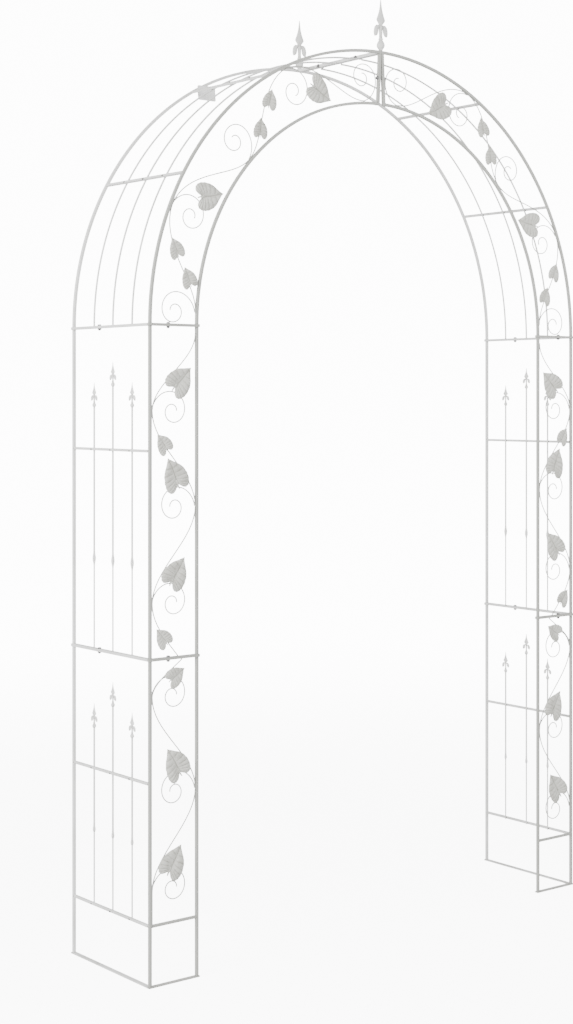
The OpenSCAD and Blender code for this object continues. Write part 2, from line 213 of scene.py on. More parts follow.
def colour_property(name, description, default):
    return FloatVectorProperty(name=name, description=description, subtype="COLOR", size=3,
                               min=0.0, max=1.0, default=default)


class RoseArchSizes(bpy.types.PropertyGroup):
    """Sizes of the fine detail"""

    tube_corner: length_property("Tube corner", "Radius of the tubes' corners", 0.0012, 0.0003, 0.003)
    rail_corner: length_property("Rail corner", "Radius of the rails' corners", 0.0008, 0.0002, 0.003)
    bar_edge: length_property("Bar edge", "Rounding of the flat bars' edges", 0.0005, 0.0001, 0.0015)
    arc_steps: count_property("Arc steps", "Steps in a quarter circle of the arch", 90, 24, 180)
    scroll_steps: count_property("Scroll steps", "Steps along a scroll", 72, 24, 160)
    leaf_thickness: length_property("Leaf thickness", "Thickness of the pressed metal", 0.0011, 0.0005, 0.002)
    vein_pairs: count_property("Vein pairs", "Pairs of side veins in a leaf", 9, 3, 12)
    bead_size: length_property("Weld bead", "Width of a weld bead", 0.0042, 0.002, 0.008)
    bead_seed: count_property("Bead seed", "Seed of the weld beads' turns", 7, 0, 999)


class RoseArchFinishes(bpy.types.PropertyGroup):
    """Colours of the finishes"""

    paint: colour_property("Paint", "Off-white paint of the frame", (0.76, 0.76, 0.745))
    # Painted shade: this darker grey-green covers the front frame, because less light falls on its faces than
    # on the parts behind
    painted_shade_and_tone: colour_property("Wash", "Grey-green wash dabbed on the front frame", (0.37, 0.375, 0.345))
    # Duller paint in patches and streaks; the cast heads also take this colour as painted shade low in their
    # relief
    dull_paint_and_shade: colour_property("Paint shade", "Duller paint in patches and streaks", (0.44, 0.435, 0.40))
    leaf: colour_property("Leaf", "Warm grey paint of the leaves", (0.63, 0.63, 0.58))
    # Painted shade: darkens the leaves' veins, midribs and rims, where the pressed relief would hold shade
    leaf_shade: colour_property("Leaf shade", "Darker wash in the leaves' veins", (0.22, 0.215, 0.175))
    casting: colour_property("Casting", "Paint of the cast heads", (0.74, 0.74, 0.72))
    bead: colour_property("Weld", "Painted weld metal, duller than the tubes", (0.24, 0.235, 0.215))
    scorch: colour_property("Scorch", "Scorched plug welds", (0.045, 0.042, 0.038))
    zinc: colour_property("Zinc", "Zinc plate of the bolts", (0.25, 0.25, 0.25))
    paper: colour_property("Paper", "Paper of the blank tag", (0.88, 0.88, 0.87))


class RoseArchStage(bpy.types.PropertyGroup):
    """Floor, light and camera"""

    backdrop: level_property("Backdrop", "Brightness of the backdrop", 13.5, 20.0)
    floor_glow: level_property("Floor glow", "Brightness of the floor under the arch", 8.7, 20.0)
    sky_light: level_property("Sky light", "Soft light from all round", 0.9, 4.0)
    key_power: level_property("Key light", "Power of the large left light", 430.0, 3000.0, "POWER")
    fill_power: level_property("Fill light", "Power of the right light", 75.0, 3000.0, "POWER")
    lens: FloatProperty(name="Lens", description="Focal length in millimetres", default=62.70, min=20.0,
                        max=200.0)
    eye: FloatVectorProperty(name="Camera place", description="Where the camera stands",
                             subtype="TRANSLATION", default=(-3.193, -3.790, 1.437), unit="LENGTH")
    heading: FloatProperty(name="Camera heading", subtype="ANGLE", default=math.radians(38.43),
                           description="Camera's turn to the right of the arch's depth")


# ---------------------------------------------------------------- shader maths

# Colours that show through or settle on a finish
PRIMER = (0.30, 0.285, 0.26)
SOOT = (0.09, 0.085, 0.075)
MILL_SCALE = (0.16, 0.15, 0.13)
TARNISH = (0.12, 0.117, 0.108)
SMUDGE = (0.62, 0.61, 0.58)
FRONT_SHADE_FROM, FRONT_SHADE_TO = FRONT_Y + 0.007, FRONT_Y - 0.002  # painted shade on the front frame comes in over this depth
DUST_H = 0.16  # dust from the ground reaches this high


class Term:
    """One output of a shader node. Arithmetic on it adds the Math node that it needs."""

    def __init__(self, finish, socket):
        self.finish = finish
        self.socket = socket

    def math(self, operation, *others, clamp=False):
        settings = {"operation": operation, "use_clamp": clamp}
        return self.finish.add("ShaderNodeMath", settings, dict(enumerate((self, *others))))["Value"]

    def __add__(self, other):
        return self.math("ADD", other)

    def __sub__(self, other):
        return self.math("SUBTRACT", other)

    def __rsub__(self, other):
        return self.math("MULTIPLY_ADD", -1.0, other)

    def __mul__(self, other):
        return self.math("MULTIPLY", other)

    __radd__ = __add__
    __rmul__ = __mul__

    def clamped(self):
        return self.math("ADD", 0.0, clamp=True)

    def ramp(self, low, high, to_low=0.0, to_high=1.0):
        """A smooth step from to_low at low to to_high at high."""
        sockets = {"Value": self, "From Min": low, "From Max": high, "To Min": to_low, "To Max": to_high}
        return self.finish.add("ShaderNodeMapRange", {"interpolation_type": "SMOOTHSTEP"}, sockets)["Result"]


class Finish:
    """A material and its nodes"""

    def __init__(self, name, **shader):
        self.material = bpy.data.materials.new(name)
        self.material.use_nodes = True
        self.nodes = self.material.node_tree.nodes
        self.links = self.material.node_tree.links
        self.shader = self.nodes["Principled BSDF"]
        for socket, value in shader.items():
            self.shader.inputs[socket.replace("_", " ").title().replace("Ior", "IOR")].default_value = value
        self.place = self.add("ShaderNodeTexCoord")["Object"]

    def add(self, kind, settings=None, sockets=None):
        """Any node: its settings come first, then the values or links of its sockets."""
        node = self.nodes.new(kind)
        for key, value in (settings or {}).items():
            setattr(node, key, value)
        for key, value in (sockets or {}).items():
            if isinstance(value, Term):
                self.links.new(value.socket, node.inputs[key])
            else:
                node.inputs[key].default_value = value
        return {out.name: Term(self, out) for out in node.outputs if out.enabled}

    def noise(self, scale, detail=2.0, roughness=0.5, stretch=None):
        place = self.place
        if stretch:
            place = self.add("ShaderNodeMapping", None, {"Vector": place, "Scale": stretch})["Vector"]
        return self.add("ShaderNodeTexNoise", None,
                        {"Vector": place, "Scale": scale, "Detail": detail, "Roughness": roughness})["Fac"]

    def attribute(self, name):
        return self.add("ShaderNodeAttribute", {"attribute_name": name})["Fac"]

    def axis(self, name):
        return self.add("ShaderNodeSeparateXYZ", None, {"Vector": self.place})[name]

    def blend(self, share, first, second):
        """Colour that goes from first to second as share goes from 0 to 1."""
        node = self.nodes.new("ShaderNodeMix")
        node.data_type = "RGBA"
        self.links.new(share.socket, node.inputs["Factor"])
        for key, colour in ((6, first), (7, second)):
            if isinstance(colour, Term):
                self.links.new(colour.socket, node.inputs[key])
            else:
                node.inputs[key].default_value = (*colour, 1.0)
        return Term(self, node.outputs[2])

    def bump(self, height, distance, strength=1.0, normal=None):
        sockets = {"Height": height, "Distance": distance, "Strength": strength}
        if normal:
            sockets["Normal"] = normal
        return self.add("ShaderNodeBump", None, sockets)["Normal"]

    def surface(self, colour, roughness, normal):
        for key, term in (("Base Color", colour), ("Roughness", roughness), ("Normal", normal)):
            self.links.new(term.socket, self.shader.inputs[key])
        return self.material


def paint_finish(colours):
    """Sprayed off-white paint: fine orange peel, dull patches, faint runs, dust near the ground, and painted
    shade that darkens the front frame to grey-green.
    """
    f = Finish("Arch_Paint", specular_ior_level=0.45)
    patches = f.noise(7.0, 4.0, 0.6)
    runs = f.noise(1.0, 3.0, 0.6, stretch=(140.0, 140.0, 9.0))
    peel = f.noise(420.0, 2.0)
    pits = f.noise(1500.0, 1.0)
    dust = f.axis("Z").ramp(DUST_H, 0.0) * patches.ramp(0.35, 0.65)
    chips = f.noise(95.0, 3.0, 0.7).ramp(0.735, 0.76)
    dulled = (patches.ramp(0.38, 0.7) * 0.42 + runs.ramp(0.5, 0.75) * 0.3 + dust * 0.5).clamped()
    # Painted shade: the front frame turns darker grey-green, because less light falls on its faces
    front = f.axis("Y").ramp(FRONT_SHADE_FROM, FRONT_SHADE_TO)
    colour = f.blend(front, tuple(colours.paint), tuple(colours.painted_shade_and_tone))
    colour = f.blend(dulled * 0.7, colour, tuple(colours.dull_paint_and_shade))
    colour = f.blend(chips * 0.75, colour, PRIMER)
    normal = f.bump(peel, 0.00022, 0.55)
    normal = f.bump(pits, 0.00006, 0.5, normal)
    return f.surface(colour, peel * 0.16 + dulled * 0.14 + chips * 0.2 + 0.32, normal)


def leaf_finish(colours):
    """Hand-brushed warm grey on pressed leaves, with painted shade that darkens the veins."""
    f = Finish("Leaf_Paint", specular_ior_level=0.4)
    vein = f.attribute("vein")
    brush = f.noise(210.0, 4.0, 0.65)
    cloud = f.noise(28.0, 3.0, 0.6)
    grain = f.noise(900.0, 2.0)
    # Painted shade in the veins, midribs and rims, mixed with random brushed and cloudy tone
    painted_shade_and_tone = (vein * 0.85 + brush.ramp(0.45, 0.75) * 0.35 + cloud.ramp(0.4, 0.7) * 0.3).clamped()
    colour = f.blend(painted_shade_and_tone, tuple(colours.leaf), tuple(colours.leaf_shade))
    normal = f.bump(brush, 0.0004, 0.5)
    normal = f.bump(grain, 0.00012, 0.5, normal)
    return f.surface(colour, brush * 0.2 + painted_shade_and_tone * 0.15 + 0.36, normal)


def casting_finish(colours):
    """Painted sand casting: grainy, with painted shade that darkens it low in the relief."""
    f = Finish("Casting_Paint", specular_ior_level=0.4)
    hollow = f.attribute("hollow")
    sand = f.noise(650.0, 4.0, 0.7)
    lumps = f.noise(160.0, 3.0, 0.6)
    # Painted shade low in the relief, mixed with random lumpy tone
    painted_shade_and_tone = (hollow * 0.6 + lumps.ramp(0.45, 0.75) * 0.35).clamped()
    colour = f.blend(painted_shade_and_tone, tuple(colours.casting), tuple(colours.dull_paint_and_shade))
    normal = f.bump(lumps, 0.0006, 0.5)
    normal = f.bump(sand, 0.00025, 0.6, normal)
    return f.surface(colour, sand * 0.2 + painted_shade_and_tone * 0.15 + 0.38, normal)


def bead_finish(colours):
    """Painted weld metal with soot and spatter showing at its edges."""
    f = Finish("Weld_Paint", specular_ior_level=0.4)
    soot = f.noise(300.0, 3.0, 0.7)
    ripple = f.noise(1100.0, 2.0)
    colour = f.blend(soot.ramp(0.35, 0.7), tuple(colours.bead), SOOT)
    return f.surface(colour, soot * 0.25 + 0.4, f.bump(ripple, 0.0004, 0.7))


def burnt_finish(colours):
    """Bare scorched weld metal that the paint didn't cover."""
    f = Finish("Burnt_Weld", metallic=0.2)
    scale = f.noise(700.0, 3.0, 0.7)
    colour = f.blend(scale.ramp(0.35, 0.7), tuple(colours.scorch), MILL_SCALE)
    return f.surface(colour, scale * 0.3 + 0.45, f.bump(scale, 0.0004, 0.7))


def zinc_finish(colours):
    """Zinc plate: fine crystals in its sheen and bumps, and dull spots."""
    f = Finish("Zinc_Plate", metallic=0.85)
    crystals = f.add("ShaderNodeTexVoronoi", None, {"Vector": f.place, "Scale": 900.0})["Distance"]
    tarnish = f.noise(240.0, 3.0, 0.65)
    colour = f.blend(tarnish.ramp(0.4, 0.75), tuple(colours.zinc), TARNISH)
    return f.surface(colour, tarnish * 0.25 + crystals * 0.12 + 0.28, f.bump(crystals, 0.0001, 0.4))


def paper_finish(colours):
    """Uncoated paper with fibres and a little handling dirt."""
    f = Finish("Tag_Paper", specular_ior_level=0.2)
    fibres = f.noise(1.0, 4.0, 0.7, stretch=(1800.0, 900.0, 420.0))
    smudge = f.noise(45.0, 2.0)
    colour = f.blend(smudge.ramp(0.45, 0.75) * 0.4, tuple(colours.paper), SMUDGE)
    return f.surface(colour, fibres * 0.12 + 0.74, f.bump(fibres, 0.00008, 0.5))


FINISHES = {
    "Arch_Paint": paint_finish,
    "Leaf_Paint": leaf_finish,
    "Casting_Paint": casting_finish,
    "Weld_Paint": bead_finish,
    "Burnt_Weld": burnt_finish,
    "Zinc_Plate": zinc_finish,
    "Tag_Paper": paper_finish,
}


def finish(name):
    """The named finish, made when it is first asked for."""
    return bpy.data.materials.get(name) or FINISHES[name](bpy.context.scene.rose_arch_finishes)


# ---------------------------------------------------------------- geometry trees

ALONG_X, ALONG_Y = (1.0, 0.0, 0.0), (0.0, 1.0, 0.0)
ROUND_CORNER = 0.4999  # corner radius that makes a square section round, as a share of its width


class Tree:
    """A Geometry Nodes tree with named inputs"""

    def __init__(self, name):
        self.group = bpy.data.node_groups.new(name, "GeometryNodeTree")
        self.group.interface.new_socket("Geometry", in_out="INPUT", socket_type="NodeSocketGeometry")
        self.group.interface.new_socket("Geometry", in_out="OUTPUT", socket_type="NodeSocketGeometry")
        self.start = self.group.nodes.new("NodeGroupInput")

    def input(self, name, kind, default=None):
        item = self.group.interface.new_socket(name, in_out="INPUT", socket_type="NodeSocket" + kind)
        if default is not None:
            item.default_value = default
        return self.start.outputs[name]

    def add(self, kind, settings=None, sockets=None):
        node = self.group.nodes.new(kind)
        for key, value in (settings or {}).items():
            setattr(node, key, value)
        for key, value in (sockets or {}).items():
            if isinstance(value, bpy.types.NodeSocket):
                self.group.links.new(value, node.inputs[key])
            else:
                node.inputs[key].default_value = value
        return node.outputs

    def named(self, name, kind):
        return self.add("GeometryNodeInputNamedAttribute", {"data_type": kind}, {"Name": name})["Attribute"]

    def finish_with(self, geometry, material):
        """Closes the tree: real geometry, in this material."""
        geometry = self.add("GeometryNodeRealizeInstances", None, {"Geometry": geometry})["Geometry"]
        sockets = {"Geometry": geometry, "Material": material}
        geometry = self.add("GeometryNodeSetMaterial", None, sockets)["Geometry"]
        end = self.group.nodes.new("NodeGroupOutput")
        self.group.links.new(geometry, end.inputs["Geometry"])
        return self.group


def swept_tree():
    """Sweeps a section with rounded corners along paths. Each point has a side vector and a swell."""
    tree = Tree("swept_section")
    width = tree.input("Width", "Float", 0.008)
    corner = tree.input("Corner", "Float", 0.001)
    steps = tree.input("Corner steps", "Int", 3)
    crease = tree.input("Crease angle", "Float", 0.8)
    material = tree.input("Finish", "Material")
    path = tree.add("GeometryNodeMeshToCurve", None, {"Mesh": tree.start.outputs["Geometry"]})["Curve"]
    path = tree.add("GeometryNodeSetCurveNormal", {"mode": "FREE"},
                    {"Curve": path, "Normal": tree.named("side", "FLOAT_VECTOR")})["Curve"]
    section = tree.add("GeometryNodeCurvePrimitiveQuadrilateral", None,
                       {"Width": width, "Height": width})["Curve"]
    section = tree.add("GeometryNodeFilletCurve", {"mode": "POLY"},
                       {"Curve": section, "Count": steps, "Radius": corner, "Limit Radius": True})["Curve"]
    swept = tree.add("GeometryNodeCurveToMesh", None, {
        "Curve": path, "Profile Curve": section,
        "Scale": tree.named("swell", "FLOAT"), "Fill Caps": True})["Mesh"]
    angle = tree.add("GeometryNodeInputMeshEdgeAngle")["Unsigned Angle"]
    sharp = tree.add("FunctionNodeCompare", {"data_type": "FLOAT", "operation": "GREATER_THAN"},
                     {"A": angle, "B": crease})["Result"]
    swept = tree.add("GeometryNodeSetShadeSmooth", {"domain": "FACE"}, {"Geometry": swept})["Geometry"]
    swept = tree.add("GeometryNodeSetShadeSmooth", {"domain": "EDGE"},
                     {"Geometry": swept, "Selection": sharp, "Shade Smooth": False})["Geometry"]
    return tree.finish_with(swept, material)


def placed_tree():
    """Puts a copy of a part at each point, with the point's turn and size."""
    tree = Tree("placed_parts")
    part = tree.input("Part", "Object")
    material = tree.input("Finish", "Material")
    points = tree.add("GeometryNodeMeshToPoints", None, {"Mesh": tree.start.outputs["Geometry"]})["Points"]
    shape = tree.add("GeometryNodeObjectInfo", None, {"Object": part})["Geometry"]
    turn = tree.named("turn", "FLOAT_VECTOR")
    turn = tree.add("FunctionNodeEulerToRotation", None, {"Euler": turn})["Rotation"]
    placed = tree.add("GeometryNodeInstanceOnPoints", None, {
        "Points": points, "Instance": shape, "Rotation": turn,
        "Scale": tree.named("size", "FLOAT_VECTOR")})["Instances"]
    return tree.finish_with(placed, material)


TREES = {"swept_section": swept_tree, "placed_parts": placed_tree}


def linked(name, data):
    """A new object in the scene."""
    obj = bpy.data.objects.new(name, data)
    bpy.context.scene.collection.objects.link(obj)
    return obj


def build(name, mesh, tree_name, values, weighted=False):
    """Runs a tree on a mesh and returns the result as a plain object."""
    obj = linked(name, mesh)
    group = bpy.data.node_groups.get(tree_name) or TREES[tree_name]()
    modifier = obj.modifiers.new("Build", "NODES")
    modifier.node_group = group
    for item in group.interface.items_tree:
        if item.in_out == "INPUT" and item.name in values:
            modifier[item.identifier] = values[item.name]
    if weighted:
        obj.modifiers.new("Normals", "WEIGHTED_NORMAL").keep_sharp = True
    return plain(obj)


def plain(obj):
    """Applies an object's modifiers, and drops what only the trees read."""
    graph = bpy.context.evaluated_depsgraph_get()
    mesh = bpy.data.meshes.new_from_object(obj.evaluated_get(graph), preserve_all_data_layers=True,
                                           depsgraph=graph)
    obj.modifiers.clear()
    obj.data = mesh
    mesh.name = obj.name
    for wanted in ("side", "swell", "turn", "size"):
        if wanted in mesh.attributes:
            mesh.attributes.remove(mesh.attributes[wanted])
    return obj


def signed_volume(mesh):
    """Volume that a mesh encloses, which is negative where its faces point inwards."""
    mesh.calc_loop_triangles()
    total = 0.0
    for tri in mesh.loop_triangles:
        a, b, c = (mesh.vertices[i].co for i in tri.vertices)
        total += a.dot(b.cross(c))
    return total / 6


def mounted(obj, slot, *nodes):
    """Makes an object a finished piece of the arch that stands for these nodes."""
    if signed_volume(obj.data) < 0:
        obj.data.flip_normals()
    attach(obj, "root")
    if nodes:
        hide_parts(*nodes)
    return obj


class Paths:
    """Paths to sweep, drawn for the left side and mirrored to the right"""

    def __init__(self):
        self.points, self.edges, self.sides, self.swells = [], [], [], []

    def add(self, points, side, swells=None, mirrored=True):
        for flip in (1, -1) if mirrored else (1,):
            first = len(self.points)
            self.points += [(flip * p[0], p[1], p[2]) for p in points]
            self.edges += [(first + i, first + i + 1) for i in range(len(points) - 1)]
            self.sides += [side] * len(points)
            self.swells += swells or [1.0] * len(points)

    def sweep(self, name, width, corner, steps, finish_name, crease=0.8, weighted=True):
        """One piece that has a section with rounded corners along every path."""
        mesh = bpy.data.meshes.new(name)
        mesh.from_pydata(self.points, self.edges, [])
        mesh.attributes.new("side", "FLOAT_VECTOR", "POINT").data.foreach_set(
            "vector", [c for side in self.sides for c in side])
        mesh.attributes.new("swell", "FLOAT", "POINT").data.foreach_set("value", self.swells)
        values = {"Width": width, "Corner": corner, "Corner steps": steps, "Crease angle": crease,
                  "Finish": finish(finish_name)}
        return build(name, mesh, "swept_section", values, weighted)

    def rod(self, name, diameter, steps=4, finish_name="Arch_Paint", crease=0.8):
        """One piece that has a round section along every path."""
        return self.sweep(name, diameter, diameter * ROUND_CORNER, steps, finish_name, crease, weighted=False)


class Places:
    """Places for copies of a part"""

    def __init__(self):
        self.points, self.turns, self.sizes = [], [], []

    def add(self, point, turn=Matrix(), size=1.0):
        self.points.append(tuple(point))
        self.turns.append(tuple(turn.to_euler("XYZ")))
        self.sizes.append((size,) * 3 if isinstance(size, (int, float)) else tuple(size))

    def fill(self, name, part_mesh, finish_name):
        """One piece that has a copy of the part at every place."""
        part = linked(name + "_part", part_mesh)
        mesh = bpy.data.meshes.new(name)
        mesh.from_pydata(self.points, [], [])
        for attribute, values in (("turn", self.turns), ("size", self.sizes)):
            mesh.attributes.new(attribute, "FLOAT_VECTOR", "POINT").data.foreach_set(
                "vector", [c for value in values for c in value])
        obj = build(name, mesh, "placed_parts", {"Part": part, "Finish": finish(finish_name)})
        bpy.data.objects.remove(part)
        bpy.data.meshes.remove(part_mesh)
        return obj


def on_arc(r, angle):
    """A place on the left quarter of an arc, as (x, z), at an angle up from the spring line."""
    return -r * math.cos(angle), ARCH_Z + r * math.sin(angle)


def arc(r, y, face, steps):
    """Quarter circle from the spring line to the face of the apex pieces, on the left."""
    stop = math.asin(face / (r - TUBE / 2))
    turns = [math.pi - (math.pi / 2 - stop) * i / steps for i in range(steps + 1)]
    return [(r * math.cos(t), y, ARCH_Z + r * math.sin(t)) for t in turns]


def rounded_copy(name, nodes, edge, finish_name):
    """One piece from CAD nodes, with their edges rounded."""
    mesh = bpy.data.meshes.new(name)
    bm = bmesh.new()
    for node in nodes:
        bm.from_mesh(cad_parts[node].data)
    bmesh.ops.remove_doubles(bm, verts=bm.verts, dist=1e-6)
    bmesh.ops.dissolve_limit(bm, angle_limit=math.radians(1), verts=bm.verts, edges=bm.edges)
    for face in bm.faces:
        face.smooth = True
        face.material_index = 0
    bm.to_mesh(mesh)
    bm.free()
    mesh.materials.clear()
    mesh.materials.append(finish(finish_name))
    obj = linked(name, mesh)
    bevel = obj.modifiers.new("Edges", "BEVEL")
    bevel.width = edge
    bevel.segments = 2
    bevel.limit_method = "ANGLE"
    bevel.angle_limit = math.radians(50)
    obj.modifiers.new("Normals", "WEIGHTED_NORMAL")
    return plain(obj)


def mesh_from(name, build_into):
    """A mesh made by a function that fills a bmesh, smooth shaded."""
    mesh = bpy.data.meshes.new(name)
    bm = bmesh.new()
    build_into(bm)
    bmesh.ops.remove_doubles(bm, verts=bm.verts, dist=1e-7)
    bmesh.ops.recalc_face_normals(bm, faces=bm.faces)
    for face in bm.faces:
        face.smooth = True
    bm.to_mesh(mesh)
    bm.free()
    return mesh


def unit_circle(steps):
    """Points round a circle, each as (cosine, sine)."""
    turns = [2 * math.pi * k / steps for k in range(steps)]
    return [(math.cos(a), math.sin(a)) for a in turns]


def loft(bm, rings, layer=None, marks=None):
    """Closed skin over rings of points, with a value on each ring in a layer."""
    rows = []
    for i, ring in enumerate(rings):
        row = [bm.verts.new(p) for p in ring]
        if layer is not None:
            for v in row:
                v[layer] = marks[i]
        rows.append(row)
    n = len(rows[0])
    for a, b in zip(rows, rows[1:]):
        for k in range(n):
            bm.faces.new((a[k], a[(k + 1) % n], b[(k + 1) % n], b[k]))
    bm.faces.new(reversed(rows[0]))
    bm.faces.new(rows[-1])


# ---------------------------------------------------------------- pieces


class ARCH_OT_tubes(bpy.types.Operator):
    """Square tubes of the posts and the three arcs of each half"""

    bl_idname = "rose_arch.tubes"
    bl_label = "Tubes"

    def execute(self, context):
        sizes = context.scene.rose_arch_sizes
        posts = Paths()
        for section in SECTIONS:
            low, high = FOOT_Z[section] + BAR_T, HEAD_Z[section] - BAR_T
            for x, y in POST_PLACES:
                posts.add([(x, y, low), (x, y, high)], ALONG_Y)
        nodes = both_sides(*[f"{section}_{post}" for section in SECTIONS for post in SECTION_POSTS])
        mounted(posts.sweep("posts", TUBE, sizes.tube_corner, 3, "Arch_Paint"), "paint", *nodes)

        arcs = Paths()
        lean = math.sin(LEAN)
        for r, y, stop in ((ARCH_R, REAR_Y, APEX_FACE),
                           (ARCH_R, FRONT_Y, APEX_FACE + TUBE * lean),
                           (ARCH_R - PANEL_W, FRONT_Y, APEX_FACE + (PANEL_W + TUBE) * lean)):
            arcs.add(arc(r, y, stop, sizes.arc_steps), ALONG_Y)
        nodes = both_sides("arch_rear_arc", "arch_outer_arc", "arch_inner_arc")
        mounted(arcs.sweep("arcs", TUBE, sizes.tube_corner, 3, "Arch_Paint"), "paint", *nodes)
        return {"FINISHED"}


class ARCH_OT_bars(bpy.types.Operator):
    """Flat bars that close the frames, and the tubes that join the halves at the apex"""

    bl_idname = "rose_arch.bars"
    bl_label = "Bars and apex"

    def execute(self, context):
        edge = context.scene.rose_arch_sizes.bar_edge
        for level, part in (("ground", "lower_foot_bar"), ("middle", "lower_head_bar"),
                            ("middle", "upper_foot_bar"), ("spring", "upper_head_bar"),
                            ("spring", "arch_foot_bar")):
            nodes = both_sides(part)
            mounted(rounded_copy(f"{level}_{part}s", nodes, edge, "Arch_Paint"), "paint", *nodes)
        for node in ("apex_uprights", "top_crossbars"):
            mounted(rounded_copy(node + "_rounded", [node], edge * 0.6, "Arch_Paint"), "paint", node)
        return {"FINISHED"}


class ARCH_OT_rails(bpy.types.Operator):
    """Square rails of the towers and rungs of the arch"""

    bl_idname = "rose_arch.rails"
    bl_label = "Rails and rungs"

    def execute(self, context):
        sizes = context.scene.rose_arch_sizes
        near, far = RAIL_ENDS
        rails = Paths()
        for z in (LOW_RAIL_Z, MID_RAIL_Z["lower"], MID_RAIL_Z["upper"]):
            rails.add([(OUTER_X, near, z), (OUTER_X, far, z)], ALONG_X)
        rails.add([(x, FRONT_Y, LOW_RAIL_Z) for x in (OUTER_X + TUBE / 2, INNER_X - TUBE / 2)], ALONG_Y)
        nodes = both_sides("lower_rails", "upper_rails")
        mounted(rails.sweep("rails", RAIL, sizes.rail_corner, 3, "Arch_Paint"), "paint", *nodes)

        rungs = Paths()
        for angle in RUNG_ANGLES:
            a = math.radians(angle)
            x, z = on_arc(ARCH_R, a)
            for flip in (1, -1):
                rungs.add([(flip * x, near, z), (flip * x, far, z)],
                          (math.cos(a), 0.0, -flip * math.sin(a)), mirrored=False)
        nodes = both_sides("arch_rungs")
        mounted(rungs.sweep("rungs", RAIL, sizes.rail_corner, 3, "Arch_Paint"), "paint", *nodes)
        return {"FINISHED"}


def spear_tips():
    """Each spear of the left side, as (section, y, z of the foot, z of the neck, z of the tip)."""
    for section in SECTIONS:
        low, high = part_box(f"left_{section}_spears")
        for y in ROD_ROWS:
            tip = HEAD_Z[section] - SPEAR_STEP if y else high.z
            yield section, y, low.z, NECK_Z[section], tip


def collared_shaft(foot, neck, top):
    """Height and width of a lower spear's shaft, which steps out to a collar at its neck."""
    collar = ((-0.007, 0.8), (-0.005, 1.15), (-0.002, 1.5), (0.002, 1.55), (0.005, 1.35), (0.009, 1.12),
              (0.02, 1.0))
    return [(foot, 0.8)] + [(neck + up, wide) for up, wide in collar] + [(top, 1.0)]


def beaded_shaft(foot, neck, top):
    """Height and width of an upper spear's shaft, which swells to a long bead at its neck."""
    profile = [(foot, 0.8), (neck - 0.024, 0.8)]
    for k in range(-10, 11):
        bulge = 0.5 + 0.5 * math.cos(math.pi * k / 10)
        base = 0.8 if k < 0 else 1.0
        profile.append((neck + 0.0021 * k, base + (1.8 - base) * bulge ** 1.4))
    return profile + [(neck + 0.024, 1.0), (top, 1.0)]


class ARCH_OT_rods(bpy.types.Operator):
    """Round rods: the spears' shafts in the towers and the plain rods over the arch"""

    bl_idname = "rose_arch.rods"
    bl_label = "Rods"

    def execute(self, context):
        sizes = context.scene.rose_arch_sizes
        rods = Paths()
        r = ARCH_R - RAIL / 2 - ROD_D / 2 - WELD_GAP
        for y in ROD_ROWS:
            rods.add(arc(r, y, APEX_FACE, sizes.arc_steps), ALONG_Y)
        mounted(rods.rod("arch_rods", ROD_D), "paint", *both_sides("arch_rods"))

        shafts = Paths()
        for section, y, foot, neck, tip in spear_tips():
            shaft = collared_shaft if section == "lower" else beaded_shaft
            profile = shaft(foot, neck, tip - SPEAR_HEAD_H * 0.98)
            shafts.add([(ROD_X, y, z) for z, _ in profile], ALONG_Y, [w for _, w in profile])
        mounted(shafts.rod("spear_shafts", ROD_D), "paint")
        return {"FINISHED"}


